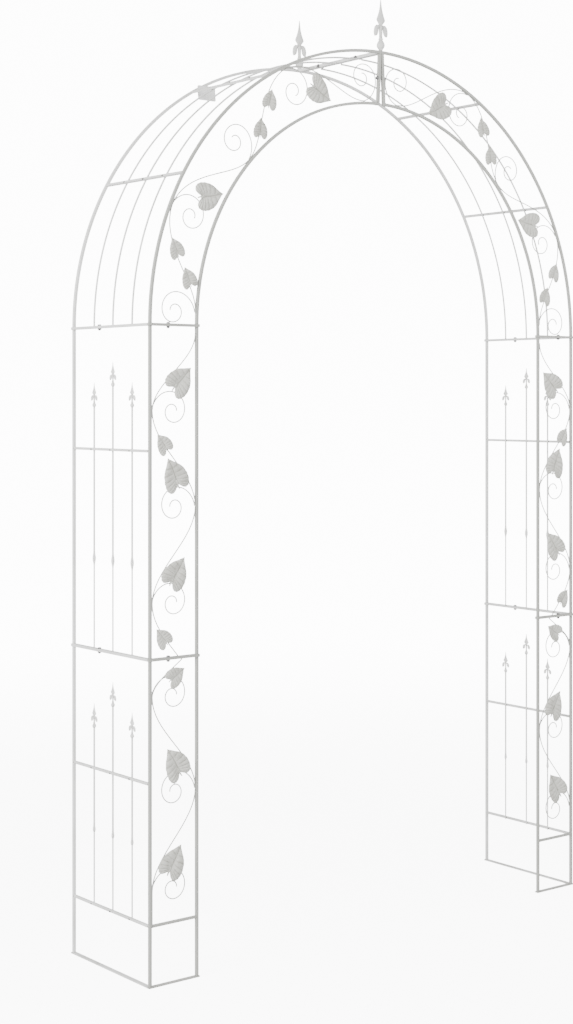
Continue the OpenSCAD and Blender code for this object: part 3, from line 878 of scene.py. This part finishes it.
def fleur_mesh(name, spread):
    """Cast head one unit high, flat across Y: cup, collar, drooping petals, waist and ridged blade."""
    # height, half width, half thickness, how deep in the relief, which sets the ring's painted shade
    body = (
        (0.000, 0.030, 0.030, 0.6), (0.012, 0.040, 0.040, 0.2), (0.030, 0.044, 0.044, 0.0),
        (0.052, 0.068, 0.062, 0.0), (0.085, 0.084, 0.0735, 0.0), (0.122, 0.085, 0.074, 0.0),
        (0.158, 0.070, 0.062, 0.2), (0.186, 0.052, 0.048, 0.5), (0.202, 0.039, 0.039, 1.0),
        (0.215, 0.046, 0.046, 0.2), (0.231, 0.046, 0.046, 0.2), (0.248, 0.035, 0.035, 0.9),
        (0.300, 0.034, 0.032, 0.4), (0.360, 0.038, 0.033, 0.2), (0.420, 0.041, 0.034, 0.3),
        (0.455, 0.046, 0.036, 0.3), (0.474, 0.036, 0.031, 0.8), (0.490, 0.031, 0.028, 1.0),
        (0.510, 0.037, 0.030, 0.2), (0.545, 0.057, 0.029, 0.1), (0.575, 0.075, 0.028, 0.0),
        (0.592, 0.079, 0.028, 0.0), (0.615, 0.075, 0.027, 0.0), (0.660, 0.060, 0.025, 0.0),
        (0.720, 0.043, 0.022, 0.0), (0.790, 0.027, 0.018, 0.0), (0.860, 0.018, 0.013, 0.0),
        (0.930, 0.012, 0.010, 0.0), (0.980, 0.007, 0.007, 0.0), (1.000, 0.004, 0.004, 0.0),
    )
    # place across, height, half width, half thickness of a petal from root to tip
    petal = (
        (0.012, 0.452, 0.018, 0.020), (0.040, 0.474, 0.027, 0.024), (0.066, 0.468, 0.037, 0.027),
        (0.084, 0.440, 0.044, 0.028), (0.092, 0.400, 0.047, 0.028), (0.097, 0.356, 0.048, 0.026),
        (0.102, 0.322, 0.043, 0.023), (0.112, 0.297, 0.030, 0.018), (0.124, 0.281, 0.012, 0.010),
    )

    def fill(bm):
        layer = bm.verts.layers.float.new("hollow")
        rings = []
        for z, half_w, half_t, _ in body:
            flat = min(1.0, half_t / half_w)
            power = 0.55 + 0.45 * flat  # the blade has a ridge down its middle and the cup is round
            wide = half_w * (spread * 1.15 if z > 0.5 else 1.0)
            rings.append([(wide * c, half_t * math.copysign(abs(s) ** (1 / power), s), z)
                          for c, s in unit_circle(16)])
        loft(bm, rings, layer, [row[3] for row in body])
        for flip in (1, -1):
            rings = []
            for i, (x, z, half_w, half_t) in enumerate(petal):
                before, after = petal[max(0, i - 1)], petal[min(len(petal) - 1, i + 1)]
                way = Vector((after[0] - before[0], after[1] - before[1])).normalized()
                across = Vector((way.y, -way.x))
                rings.append([(flip * spread * (x + across.x * half_w * c), half_t * s,
                               z + across.y * half_w * c) for c, s in unit_circle(10)])
            # Painted shade at the petals' roots, where they meet the body
            loft(bm, rings, layer, [0.8, 0.4] + [0.0] * (len(petal) - 2))

    return mesh_from(name, fill)


class ARCH_OT_heads(bpy.types.Operator):
    """Cast heads of the spears and the two finials"""

    bl_idname = "rose_arch.heads"
    bl_label = "Spear heads and finials"

    def execute(self, context):
        heads = Places()
        quarter = Matrix.Rotation(math.pi / 2, 3, "Z")
        for _, y, _, _, tip in spear_tips():
            for _, flip in SIDES:
                heads.add((flip * ROD_X, y, tip - SPEAR_HEAD_H), quarter, SPEAR_HEAD_H)
        head = fleur_mesh("spear_head", SPEAR_SPREAD)
        mounted(heads.fill("spear_heads", head, "Casting_Paint"), "paint",
                *both_sides("lower_spears", "upper_spears"))

        finials = Places()
        height = extent("front_finial").z
        for node in ("front_finial", "rear_finial"):
            spot = middle(node)
            finials.add((spot.x, spot.y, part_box(node)[0].z), Matrix(), height)
        finial = fleur_mesh("finial", FINIAL_SPREAD)
        mounted(finials.fill("finials", finial, "Casting_Paint"), "paint", "front_finial", "rear_finial")
        return {"FINISHED"}


def swing(low, high, side, steps=16):
    """One swing of the stem from a weld to the next."""
    return [(PANEL_W / 2 + side * WAVE * math.cos(math.pi * i / steps), low + (high - low) * i / steps)
            for i in range(steps)]


def stem_path(panel):
    """The stem's path up a panel, as (across, up)."""
    welds = WELDS[panel]
    path = []
    if panel == "lower":
        path.append((PANEL_W / 2 - WAVE, LOW_RAIL_Z + RAIL / 2))
    if panel == "upper":
        low = BAR_T + WIRE_D / 2
        for i in range(10):
            up = low + (welds[0] - low) * i / 10
            path.append((PANEL_W / 2 - WAVE * math.cos(math.pi * (welds[0] - up) / UPPER_PITCH), up))
    for i in range(len(welds) - 1):
        path += swing(welds[i], welds[i + 1], weld_side(panel, i))
    if panel == "lower":
        top = LOWER_H - BAR_T - WIRE_D / 2
        for i in range(13):
            up = welds[2] + (top - welds[2]) * i / 12
            path.append((PANEL_W / 2 - WAVE * math.cos(math.pi * (up - welds[2]) / LOWER_EXIT_PITCH), up))
    else:
        last = len(welds) - 1
        path.append((PANEL_W / 2 + weld_side(panel, last) * WAVE, welds[last]))
    return path


def scroll_path(panel, index, steps):
    """A scroll's path from its weld to its eye, as (across, up)."""
    side, up = weld_side(panel, index), WELDS[panel][index]
    path = []
    for i in range(steps + 1):
        a, r = SCROLL_TURN * i / steps, SCROLL_R * SCROLL_SHRINK ** (i / steps)
        path.append((PANEL_W / 2 + side * (WAVE - SCROLL_R + r * math.cos(a)), up + r * math.sin(a)))
    return path


class ARCH_OT_vine(bpy.types.Operator):
    """Wire stems and scrolls of the vine"""

    bl_idname = "rose_arch.vine"
    bl_label = "Vine"

    def execute(self, context):
        steps = context.scene.rose_arch_sizes.scroll_steps
        for panel in PANELS:
            wires = Paths()
            stem = [on_panel(panel, *p) for p in stem_path(panel)]
            wires.add([(x, STEM_Y, z) for x, z in stem], ALONG_Y)
            for index in range(SCROLLS[panel]):
                scroll = [on_panel(panel, *p) for p in scroll_path(panel, index, steps)]
                swells = [1.0] * (steps - 2) + [0.98, 0.92, 0.74]
                wires.add([(x, SCROLL_Y, z) for x, z in scroll], ALONG_Y, swells)
            mounted(wires.rod(f"{panel}_vine_wires", WIRE_D), "paint", *both_sides(f"{panel}_vine"))
        return {"FINISHED"}


def leaf_mesh(vein_pairs, thickness):
    """Pressed heart leaf one unit long: folded at its midrib, ribbed between its veins, with a stalk."""
    rows, columns = 12 * vein_pairs, 12
    (lobe_x, lobe_y), (cheek_x, cheek_y) = LEAF_HULL

    def edge(t):
        s = 1 - t
        x = 3 * s * s * t * lobe_x + 3 * s * t * t * cheek_x
        y = 3 * s * s * t * lobe_y + 3 * s * t * t * cheek_y + t ** 3
        y += NOTCH_CUT * max(0.0, 1 - t / 0.2) ** 2
        return x * (1 - 0.35 * max(0.0, (y - 0.6) / 0.4)), y

    def relief(t, w, y):
        """Height above the flat at share w of the way out to the edge, and the spot's painted shade, which is
        deepest in the veins, on the midrib and at the rim.
        """
        phase = (t * (vein_pairs + 0.5)) % 1.0
        from_vein = abs(phase - 0.5) * 2  # 1 on a vein and 0 midway between two
        reach = min(1.0, 3.0 * w) * min(1.0, 6.0 * (1 - w)) * min(1.0, 5.0 * t)
        side_vein = max(0.0, (from_vein - 0.70) / 0.30) * reach
        midrib = max(0.0, 1 - w * (0.3 + t) / 0.045)
        pleat = (1 - from_vein ** 2) * LEAF_PLEAT * reach
        fold = LEAF_FOLD * math.sin(min(1.0, w / 0.7) * math.pi / 2)
        fold *= math.sin(math.pi * min(1.0, 0.15 + 0.8 * t))
        droop = EDGE_DROOP * max(0.0, (w - 0.6) / 0.4) ** 1.5 + TIP_DROOP * max(0.0, (y - 0.6) / 0.4) ** 2
        # Painted shade: darkest on the side veins, the midrib and the rim
        depth = 0.6 * side_vein + 0.8 * midrib + 0.3 * (w > 0.97)
        return LEAF_LIFT + fold + pleat - droop, min(1.0, depth)

    def fill(bm):
        layer = bm.verts.layers.float.new("vein")
        for flip in (1, -1):
            grid = []
            for i in range(rows + 1):
                t = i / rows
                edge_x, edge_y = edge(t)
                scallop = 1 - 0.02 * (0.5 - 0.5 * math.cos(2 * math.pi * t * (vein_pairs + 0.5)))
                rib_y = NOTCH_CUT + (1 - NOTCH_CUT) * t ** 3.2
                row = []
                for j in range(columns + 1):
                    w = j / columns
                    out = w * (scallop if j == columns else 1.0)
                    x = edge_x * out
                    y = rib_y + (edge_y - rib_y) * out - 0.08 * w * (1 - w) * (1 - t)
                    z, depth = relief(t, w, y)
                    v = bm.verts.new((flip * x + 0.02 * math.sin(math.pi * max(0.0, y)), y, z))
                    v[layer] = depth
                    row.append(v)
                grid.append(row)
            for i in range(rows):
                for j in range(columns):
                    corners = (grid[i][j], grid[i][j + 1], grid[i + 1][j + 1], grid[i + 1][j])
                    if flip < 0:
                        corners = tuple(reversed(corners))
                    bm.faces.new(corners)

    mesh = bpy.data.meshes.new("leaf_blade")
    bm = bmesh.new()
    fill(bm)
    bmesh.ops.remove_doubles(bm, verts=bm.verts, dist=1e-4)
    bmesh.ops.dissolve_degenerate(bm, edges=bm.edges, dist=1e-5)
    for face in bm.faces:
        face.smooth = True
    bm.to_mesh(mesh)
    bm.free()
    blade = linked("leaf_blade", mesh)
    solid = blade.modifiers.new("Sheet", "SOLIDIFY")
    solid.thickness = thickness
    solid.offset = -1.0
    plain(blade)

    # place along, height, radius of the stalk
    stalk = ((0.20, 0.024, 0.014), (0.10, 0.024, 0.026), (0.03, 0.022, 0.030), (-0.03, 0.022, 0.028),
             (-0.09, 0.024, 0.026), (-0.125, 0.028, 0.022), (-0.14, 0.030, 0.010))
    bm = bmesh.new()
    bm.from_mesh(blade.data)
    loft(bm, [[(r * c + 0.25 * max(0.0, -y) ** 1.5, y, z + r * s) for c, s in unit_circle(8)]
              for y, z, r in stalk])
    bmesh.ops.recalc_face_normals(bm, faces=bm.faces)
    for face in bm.faces:
        face.smooth = True
    mesh = bpy.data.meshes.new("leaf")
    bm.to_mesh(mesh)
    bm.free()
    bpy.data.objects.remove(blade)
    return mesh


def notch(panel, leaf):
    """Where a leaf's notch is, as (across, up)."""
    index, up, across, _, _, wire = leaf
    reach = WAVE * math.cos(math.pi * up / PITCHES[panel][index]) if wire == "stem" else WAVE - SCROLL_R
    return PANEL_W / 2 + across + weld_side(panel, index) * reach, WELDS[panel][index] + up


class ARCH_OT_leaves(bpy.types.Operator):
    """Pressed heart leaves of the vine"""

    bl_idname = "rose_arch.leaves"
    bl_label = "Leaves"

    def execute(self, context):
        sizes = context.scene.rose_arch_sizes
        upright = Matrix.Rotation(math.pi / 2, 3, "X")
        for panel in PANELS:
            places = Places()
            for number, leaf in enumerate(LEAVES[panel]):
                across, up = notch(panel, leaf)
                x, z = on_panel(panel, across, up)
                y = (STEM_Y if leaf[5] == "stem" else SCROLL_Y) - WIRE_D / 2 - WELD_GAP
                angle = math.radians(leaf[3]) - panel_turn(panel, up)
                tilt = math.radians(1.0) * (1 if number % 2 else -1)
                length = leaf[4]
                for _, flip in SIDES:
                    way = angle if flip > 0 else math.pi - angle
                    turn = upright @ Matrix.Rotation(way - math.pi / 2, 3, "Z")
                    turn = turn @ Matrix.Rotation(tilt, 3, "Y")
                    places.add((flip * x, y - LEAF_BACK, z), turn, (length * flip, length, length))
            thickness = sizes.leaf_thickness / LARGE
            obj = places.fill(f"{panel}_leaf_set", leaf_mesh(sizes.vein_pairs, thickness), "Leaf_Paint")
            outward(obj.data)
            mounted(obj, "leaf_paint", *both_sides(f"{panel}_leaves"))
        return {"FINISHED"}


def outward(mesh):
    """Recalculates normals, for copies that a mirrored size turned inside out."""
    bm = bmesh.new()
    bm.from_mesh(mesh)
    bmesh.ops.recalc_face_normals(bm, faces=bm.faces)
    bm.to_mesh(mesh)
    bm.free()


def hexagon_mesh(name, flats, height, washer_r, washer_t, bore):
    """Hexagon head or nut on a washer, standing up from the origin, with chamfered corners."""
    corner = flats / math.cos(math.pi / 6) / 2

    def ring(r, z, pull=0.0):
        """Ring of points: a hexagon where pull is 0 and a circle where it is 1."""
        points = []
        for k, (c, s) in enumerate(unit_circle(24)):
            a = 2 * math.pi * k / 24
            inner = flats / 2 / math.cos((a % (math.pi / 3)) - math.pi / 6)
            flat_r = inner * r / corner
            rr = flat_r + (min(flat_r, flats / 2 * r / corner) - flat_r) * pull
            points.append((rr * c, rr * s, z))
        return points

    def circle(r, z):
        return [(r * c, r * s, z) for c, s in unit_circle(24)]

    def fill(bm):
        loft(bm, [circle(washer_r, 0.0), circle(washer_r, washer_t * 0.7),
                  circle(washer_r * 0.96, washer_t), circle(corner * 0.98, washer_t),
                  ring(corner * 0.97, washer_t), ring(corner, washer_t * 1.3),
                  ring(corner, height * 0.80), ring(corner * 0.98, height * 0.90, 0.5),
                  ring(corner * 0.95, height * 0.97, 0.9), ring(corner * 0.90, height, 1.0),
                  circle(flats * 0.36, height), circle(bore, height * 0.97)])

    return mesh_from(name, fill)


BOLT_D, BOLT_FLATS, HEAD_H, NUT_H, BOLT_TAIL = 0.005, 0.008, 0.0035, 0.004, 0.0015
WASHER_R, WASHER_T = 0.0055, 0.0008
SIDE_BOLT_IN = 0.122  # from the rear post to the side frame's bolt
FRONT_BOLT_IN = 0.054  # from the outer post to the front frame's bolt
APEX_BOLT_Y = 0.08  # of each crossbar bolt, from the middle


def thread(seat, grip, way):
    """Points and swells of a shank from inside its head to its tail, with ridges past the grip."""
    turns = 14
    first, last = grip + NUT_H * 0.7, grip + NUT_H + BOLT_TAIL
    points, swells = [seat + way * 0.0001], [0.98]
    for k in range(turns + 1):
        points.append(seat + way * (first + (last - first) * k / turns))
        swells.append(0.97 if k % 2 else 0.86)
    swells[-1] = 0.7
    return points, swells


class ARCH_OT_fasteners(bpy.types.Operator):
    """Bolts, washers and nuts of the tower joints and the apex"""

    bl_idname = "rose_arch.fasteners"
    bl_label = "Fasteners"

    def execute(self, context):
        heads, nuts, shanks = Places(), Places(), Paths()
        down = Matrix.Rotation(math.pi, 3, "X")
        for z in (HEAD_Z["lower"], HEAD_Z["upper"]):
            for x, y in ((OUTER_X, REAR_Y - SIDE_BOLT_IN), (OUTER_X + FRONT_BOLT_IN, FRONT_Y)):
                for n, (_, flip) in enumerate(SIDES):
                    turn = Matrix.Rotation(0.4 * (n + 1) + x * 9 + z, 3, "Z")
                    heads.add((flip * x, y, z + BAR_T), turn)
                    nuts.add((flip * x, y, z - BAR_T), turn @ down)
                points, swells = thread(Vector((x, y, z + BAR_T)), 2 * BAR_T, Vector((0, 0, -1)))
                shanks.add(points, ALONG_Y, swells)
        crossbar_grip = 2 * TUBE + SEAM
        across_corners = BOLT_FLATS / math.cos(math.pi / 6)
        upright_grip = (crossbar_grip + (PANEL_W + TUBE) * math.sin(LEAN)
                        + across_corners * math.tan(LEAN) + 2 * WELD_GAP)
        right = Matrix.Rotation(math.pi / 2, 3, "Y")
        left = Matrix.Rotation(-math.pi / 2, 3, "Y")
        for grip, y, z in ((crossbar_grip, -APEX_BOLT_Y, APEX_Z - TUBE / 2),
                           (crossbar_grip, APEX_BOLT_Y, APEX_Z - TUBE / 2),
                           (upright_grip, FRONT_Y, APEX_Z - (PANEL_W + TUBE) / 2)):
            heads.add((-grip / 2, y, z), left)
            nuts.add((grip / 2, y, z), right)
            points, swells = thread(Vector((-grip / 2, y, z)), grip, Vector((1, 0, 0)))
            shanks.add(points, ALONG_Y, swells, mirrored=False)
        head = hexagon_mesh("bolt_head", BOLT_FLATS, HEAD_H, WASHER_R, WASHER_T, 0.0010)
        nut = hexagon_mesh("hex_nut", BOLT_FLATS, NUT_H, WASHER_R, WASHER_T, BOLT_D / 2 * 0.98)
        mounted(heads.fill("bolt_heads", head, "Zinc_Plate"), "hardware", "bolts")
        mounted(nuts.fill("hex_nuts", nut, "Zinc_Plate"), "hardware", "nuts")
        mounted(shanks.rod("bolt_shanks", BOLT_D, 5, "Zinc_Plate", crease=1.2), "hardware")
        return {"FINISHED"}


def bead_mesh(name):
    """Lumpy weld bead, one unit across"""

    def fill(bm):
        bmesh.ops.create_icosphere(bm, subdivisions=2, radius=0.5)
        for v in bm.verts:
            v.co *= 1 + 0.22 * noise.noise(v.co * 3.1) + 0.08 * math.cos(v.co.x * 26)
            v.co.z *= 0.72

    return mesh_from(name, fill)


# Lengths of a bead along X, Y and Z, in bead widths: flat against the bar, along Y or along X
BEAD_ALONG_Y, BEAD_ALONG_X, BEAD_ROUND = (0.5, 1.3, 0.5), (1.3, 0.5, 0.5), (1.3, 1.3, 0.5)


def beside_rods():
    """Y on each side of every rod."""
    return [y + shift * ROD_D * 0.5 for y in ROD_ROWS for shift in (-1, 1)]


def tower_weld_spots(section):
    """Weld places of a left tower section."""
    inner, outer = OUTER_X + RAIL / 2, OUTER_X - RAIL / 2
    for x, y in POST_PLACES:
        for z in (FOOT_Z[section] + BAR_T, HEAD_Z[section] - BAR_T):
            yield (x + TUBE / 2, y, z), BEAD_ALONG_Y
            yield (x - TUBE / 2, y, z), BEAD_ALONG_Y
            yield (x, y + TUBE / 2, z), BEAD_ALONG_X
            yield (x, y - TUBE / 2, z), BEAD_ALONG_X
    for z in (MID_RAIL_Z[section],) + ((LOW_RAIL_Z,) if section == "lower" else ()):
        for y in RAIL_ENDS:
            yield (inner, y, z), (0.5, 0.6, 1.2)
            yield (outer, y, z), (0.5, 0.6, 1.2)
            yield (OUTER_X, y, z - RAIL / 2), (1.2, 0.6, 0.5)
        for y in beside_rods():
            yield (inner, y, z), (0.6, 0.6, 1.3)
    if section == "upper":
        for y in ROD_ROWS:
            yield (ROD_X, y, FOOT_Z["upper"] + BAR_T), BEAD_ROUND


def arch_weld_spots():
    """Weld places of the left half of the arch."""
    for angle in RUNG_ANGLES:
        a = math.radians(angle)
        x, z = on_arc(ARCH_R, a)
        for y in RAIL_ENDS:
            yield (x, y, z - RAIL * 0.4), (1.1, 0.6, 0.7)
            yield (x, y, z + RAIL * 0.5), (1.1, 0.6, 0.6)
        x, z = on_arc(ARCH_R - RAIL / 2, a)
        for y in beside_rods():
            yield (x, y, z), (1.2, 0.7, 1.2)
    for y in ROD_ROWS:
        yield (-ARCH_R + RAIL / 2 + ROD_D / 2, y, ARCH_Z), BEAD_ROUND
        yield (-APEX_FACE, y, APEX_Z - TUBE / 2 - RAIL / 2), (0.6, 1.2, 1.0)
    for x, y in POST_PLACES:
        for shift in (-1, 1):
            yield (x, y + shift * TUBE / 2, ARCH_Z), BEAD_ALONG_X
            yield (x + shift * TUBE / 2, y, ARCH_Z), BEAD_ALONG_Y
    for drop in (TUBE, PANEL_W, PANEL_W + TUBE):
        x, z = -APEX_FACE - drop * math.sin(LEAN), APEX_Z - drop
        yield (x, FRONT_Y - TUBE * 0.4, z), (0.6, 0.8, 0.6)
        yield (x, FRONT_Y + TUBE * 0.4, z), (0.6, 0.8, 0.6)
    yield (-APEX_FACE, REAR_Y - TUBE / 2, APEX_Z - TUBE / 2), (0.6, 0.6, 1.2)


def vine_weld_spots(panel):
    """Weld places of the vine in a left panel: stem to tubes, and large leaves to scrolls."""
    for index, up in enumerate(WELDS[panel]):
        across = PANEL_W / 2 + weld_side(panel, index) * (WAVE + WIRE_D * 0.35)
        x, z = on_panel(panel, across, up)
        yield (x, FRONT_Y, z), (0.6, 0.9, 1.5)
    for leaf in LEAVES[panel]:
        if leaf[4] == LARGE:
            x, z = on_panel(panel, *notch(panel, leaf))
            yield (x, SCROLL_Y - WIRE_D / 2, z), (0.5, 0.5, 0.5)


def weld_spots():
    """Weld places of the left side, each as (point, lengths of the bead)."""
    for section in SECTIONS:
        yield from tower_weld_spots(section)
    for x in (OUTER_X + TUBE / 2, INNER_X - TUBE / 2):
        yield (x, FRONT_Y - RAIL / 2, LOW_RAIL_Z), (0.6, 0.5, 1.2)
    yield from arch_weld_spots()
    for panel in PANELS:
        yield from vine_weld_spots(panel)


def burnt_spots():
    """Scorched plug welds on the outer faces of the left rails and rungs, one at each rod."""
    sunk = 0.0004  # each bead's middle lies this far under the face
    for y in ROD_ROWS:
        for z in (MID_RAIL_Z["lower"], MID_RAIL_Z["upper"], LOW_RAIL_Z):
            yield (OUTER_X - RAIL / 2 + sunk, y, z - RAIL * 0.2), (0.5, 1.9, 1.6)
        for angle in RUNG_ANGLES:
            a = math.radians(angle)
            x, z = on_arc(ARCH_R + RAIL / 2 - sunk, a)
            yield (x, y, z - RAIL * 0.15), (1.7, 1.9, 1.7)
            x, z = on_arc(ARCH_R - RAIL / 2, a)
            yield (x, y - ROD_D * 0.55, z), (1.2, 0.8, 1.3)


NOISE_STEP = Vector((9.3, -1.5, -7.9))  # from the noise of a bead's size to the noise of its turn


def fill_beads(name, spots, finish_name, sizes):
    """Weld beads at these spots of the left side and their mirrored places."""
    beads = Places()
    for number, (point, stretch) in enumerate(spots):
        for _, flip in SIDES:
            spot = Vector((number * 1.7 + sizes.bead_seed, flip * 3.3, 0.5))
            size = sizes.bead_size * (1 + 0.25 * noise.noise(spot))
            turn = Matrix.Rotation(0.2 * noise.noise(spot + NOISE_STEP), 3, "Y")
            beads.add((flip * point[0], point[1], point[2]), turn, [size * s for s in stretch])
    mounted(beads.fill(name, bead_mesh("weld_bead"), finish_name), "paint")


class ARCH_OT_welds(bpy.types.Operator):
    """Weld beads where rods, rails, wires and tubes meet"""

    bl_idname = "rose_arch.welds"
    bl_label = "Welds"

    def execute(self, context):
        sizes = context.scene.rose_arch_sizes
        fill_beads("weld_beads", weld_spots(), "Weld_Paint", sizes)
        fill_beads("plug_welds", burnt_spots(), "Burnt_Weld", sizes)
        return {"FINISHED"}


class ARCH_OT_tag(bpy.types.Operator):
    """Blank paper tag on the rear arc"""

    bl_idname = "rose_arch.tag"
    bl_label = "Tag"

    def execute(self, context):
        low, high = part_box("blank_tag")
        wide, tall = high.x - low.x, high.z - low.z
        columns, rows, corner = 24, 18, 0.004

        def inset(up):
            """How far the rounded corners draw a row in."""
            from_end = min(up, tall - up)
            if from_end >= corner:
                return 0.0
            return corner - math.sqrt(max(0.0, corner ** 2 - (corner - from_end) ** 2))

        def curl(u, v):
            """How far the sheet curls away from the tube."""
            across = 0.7 + 0.3 * math.cos(2.4 * (u - 0.4))
            return 0.0006 + 0.0045 * (1 - v) ** 2 * across + 0.0016 * (u - 0.5) ** 2

        def fill(bm):
            grid = []
            for j in range(rows + 1):
                v = j / rows
                side = inset(v * tall)
                grid.append([bm.verts.new((low.x + side + (wide - 2 * side) * i / columns,
                                           high.y - curl(i / columns, v), low.z + tall * v))
                             for i in range(columns + 1)])
            for j in range(rows):
                for i in range(columns):
                    bm.faces.new((grid[j][i], grid[j][i + 1], grid[j + 1][i + 1], grid[j + 1][i]))

        mesh = mesh_from("tag_sheet", fill)
        mesh.materials.append(finish("Tag_Paper"))
        tag = linked("paper_tag", mesh)
        tag.modifiers.new("Sheet", "SOLIDIFY").thickness = 0.0004
        mounted(plain(tag), "tag", "blank_tag")
        return {"FINISHED"}


FLOOR_REACH = 40.0
GLOW_FROM, GLOW_TO = 1.0, 6.0  # the floor's glow rises over these distances from the middle
HORIZON_STEP = 0.7  # how much less the far floor glows than the backdrop, as its own shading adds to it
LIGHTS = {"key_light": ((-4.6, -1.5, 3.2), 2.4), "fill_light": ((2.3, -2.3, 2.4), 2.0)}  # place, size
LIGHT_AIM = Vector((0, 0, 1.3))
CAMERA_SHIFT = -0.1102


def camera_only(material_or_world, output, seen, unseen):
    """Feeds an output with one shader for the camera's own rays and another for every other ray."""
    tree = material_or_world.node_tree
    path = tree.nodes.new("ShaderNodeLightPath")
    mix = tree.nodes.new("ShaderNodeMixShader")
    tree.links.new(path.outputs["Is Camera Ray"], mix.inputs[0])
    tree.links.new(unseen, mix.inputs[1])
    tree.links.new(seen, mix.inputs[2])
    tree.links.new(mix.outputs[0], output)


def floor_finish(stage):
    """Pale floor whose glow rises with distance until it meets the backdrop."""
    f = Finish("Pale_Floor", base_color=(0.82, 0.82, 0.82, 1.0), roughness=0.6)
    away = f.add("ShaderNodeVectorMath", {"operation": "LENGTH"}, {0: f.place})["Value"]
    strength = away.ramp(GLOW_FROM, GLOW_TO, stage.floor_glow, stage.backdrop - HORIZON_STEP)
    glow = f.add("ShaderNodeEmission", None, {"Strength": strength})["Emission"]
    both = f.add("ShaderNodeAddShader", None, {0: glow, 1: Term(f, f.shader.outputs[0])})["Shader"]
    camera_only(f.material, f.nodes["Material Output"].inputs["Surface"], both.socket, f.shader.outputs[0])
    return f.material


class ARCH_OT_stage(bpy.types.Operator):
    """Pale floor, backdrop, soft lights and camera"""

    bl_idname = "rose_arch.stage"
    bl_label = "Stage"

    def execute(self, context):
        stage = context.scene.rose_arch_stage
        mesh = bpy.data.meshes.new("floor")
        corners = [(x * FLOOR_REACH, y * FLOOR_REACH, 0) for x, y in ((-1, -1), (1, -1), (1, 1), (-1, 1))]
        mesh.from_pydata(corners, [], [(0, 1, 2, 3)])
        floor = linked("floor", mesh)
        mesh.materials.append(floor_finish(stage))

        world = bpy.data.worlds.new("Backdrop")
        context.scene.world = world
        world.use_nodes = True
        soft = world.node_tree.nodes["Background"]
        soft.inputs["Color"].default_value = (1.0, 1.0, 1.0, 1)
        soft.inputs["Strength"].default_value = stage.sky_light
        bright = world.node_tree.nodes.new("ShaderNodeBackground")
        bright.inputs["Color"].default_value = (1.0, 1.0, 1.0, 1)
        bright.inputs["Strength"].default_value = stage.backdrop
        camera_only(world, world.node_tree.nodes["World Output"].inputs["Surface"], bright.outputs[0],
                    soft.outputs[0])

        powers = {"key_light": stage.key_power, "fill_light": stage.fill_power}
        for name, power in powers.items():
            place, size = LIGHTS[name]
            light = bpy.data.lights.new(name, "AREA")
            light.energy = power
            light.size = size
            lamp = linked(name, light)
            lamp.location = place
            lamp.rotation_euler = (LIGHT_AIM - Vector(place)).to_track_quat("-Z", "Y").to_euler()

        camera = bpy.data.cameras.new("camera")
        camera.lens = stage.lens
        camera.sensor_width = 36.0
        camera.shift_y = CAMERA_SHIFT
        camera.clip_end = 200.0
        eye = linked("camera", camera)
        eye.location = stage.eye
        eye.rotation_euler = (math.pi / 2, 0, -stage.heading)
        bpy.context.scene.camera = eye
        return {"FINISHED"}


OPERATORS = (ARCH_OT_tubes, ARCH_OT_bars, ARCH_OT_rails, ARCH_OT_rods, ARCH_OT_heads, ARCH_OT_vine,
             ARCH_OT_leaves, ARCH_OT_fasteners, ARCH_OT_welds, ARCH_OT_tag, ARCH_OT_stage)


class ARCH_PT_panel(bpy.types.Panel):
    """Lists the arch's steps, sizes and colours"""

    bl_idname = "ARCH_PT_panel"
    bl_label = "Rose Arch"
    bl_space_type = "VIEW_3D"
    bl_region_type = "UI"
    bl_category = "Rose Arch"

    def draw(self, context):
        for operator in OPERATORS:
            self.layout.operator(operator.bl_idname)
        for group in (context.scene.rose_arch_sizes, context.scene.rose_arch_finishes,
                      context.scene.rose_arch_stage):
            box = self.layout.box()
            for key in group.bl_rna.properties.keys():
                if key not in ("rna_type", "name"):
                    box.prop(group, key)


GROUPS = {"rose_arch_sizes": RoseArchSizes, "rose_arch_finishes": RoseArchFinishes,
          "rose_arch_stage": RoseArchStage}


def register():
    for group in GROUPS.values():
        bpy.utils.register_class(group)
    for name, group in GROUPS.items():
        setattr(bpy.types.Scene, name, PointerProperty(type=group))
    for operator in OPERATORS:
        bpy.utils.register_class(operator)
    bpy.utils.register_class(ARCH_PT_panel)


def unregister():
    bpy.utils.unregister_class(ARCH_PT_panel)
    for operator in reversed(OPERATORS):
        bpy.utils.unregister_class(operator)
    for name, group in GROUPS.items():
        delattr(bpy.types.Scene, name)
        bpy.utils.unregister_class(group)


def main():
    register()
    for operator in OPERATORS:
        group, name = operator.bl_idname.split(".")
        getattr(getattr(bpy.ops, group), name)()


if __name__ == "__main__":
    main()
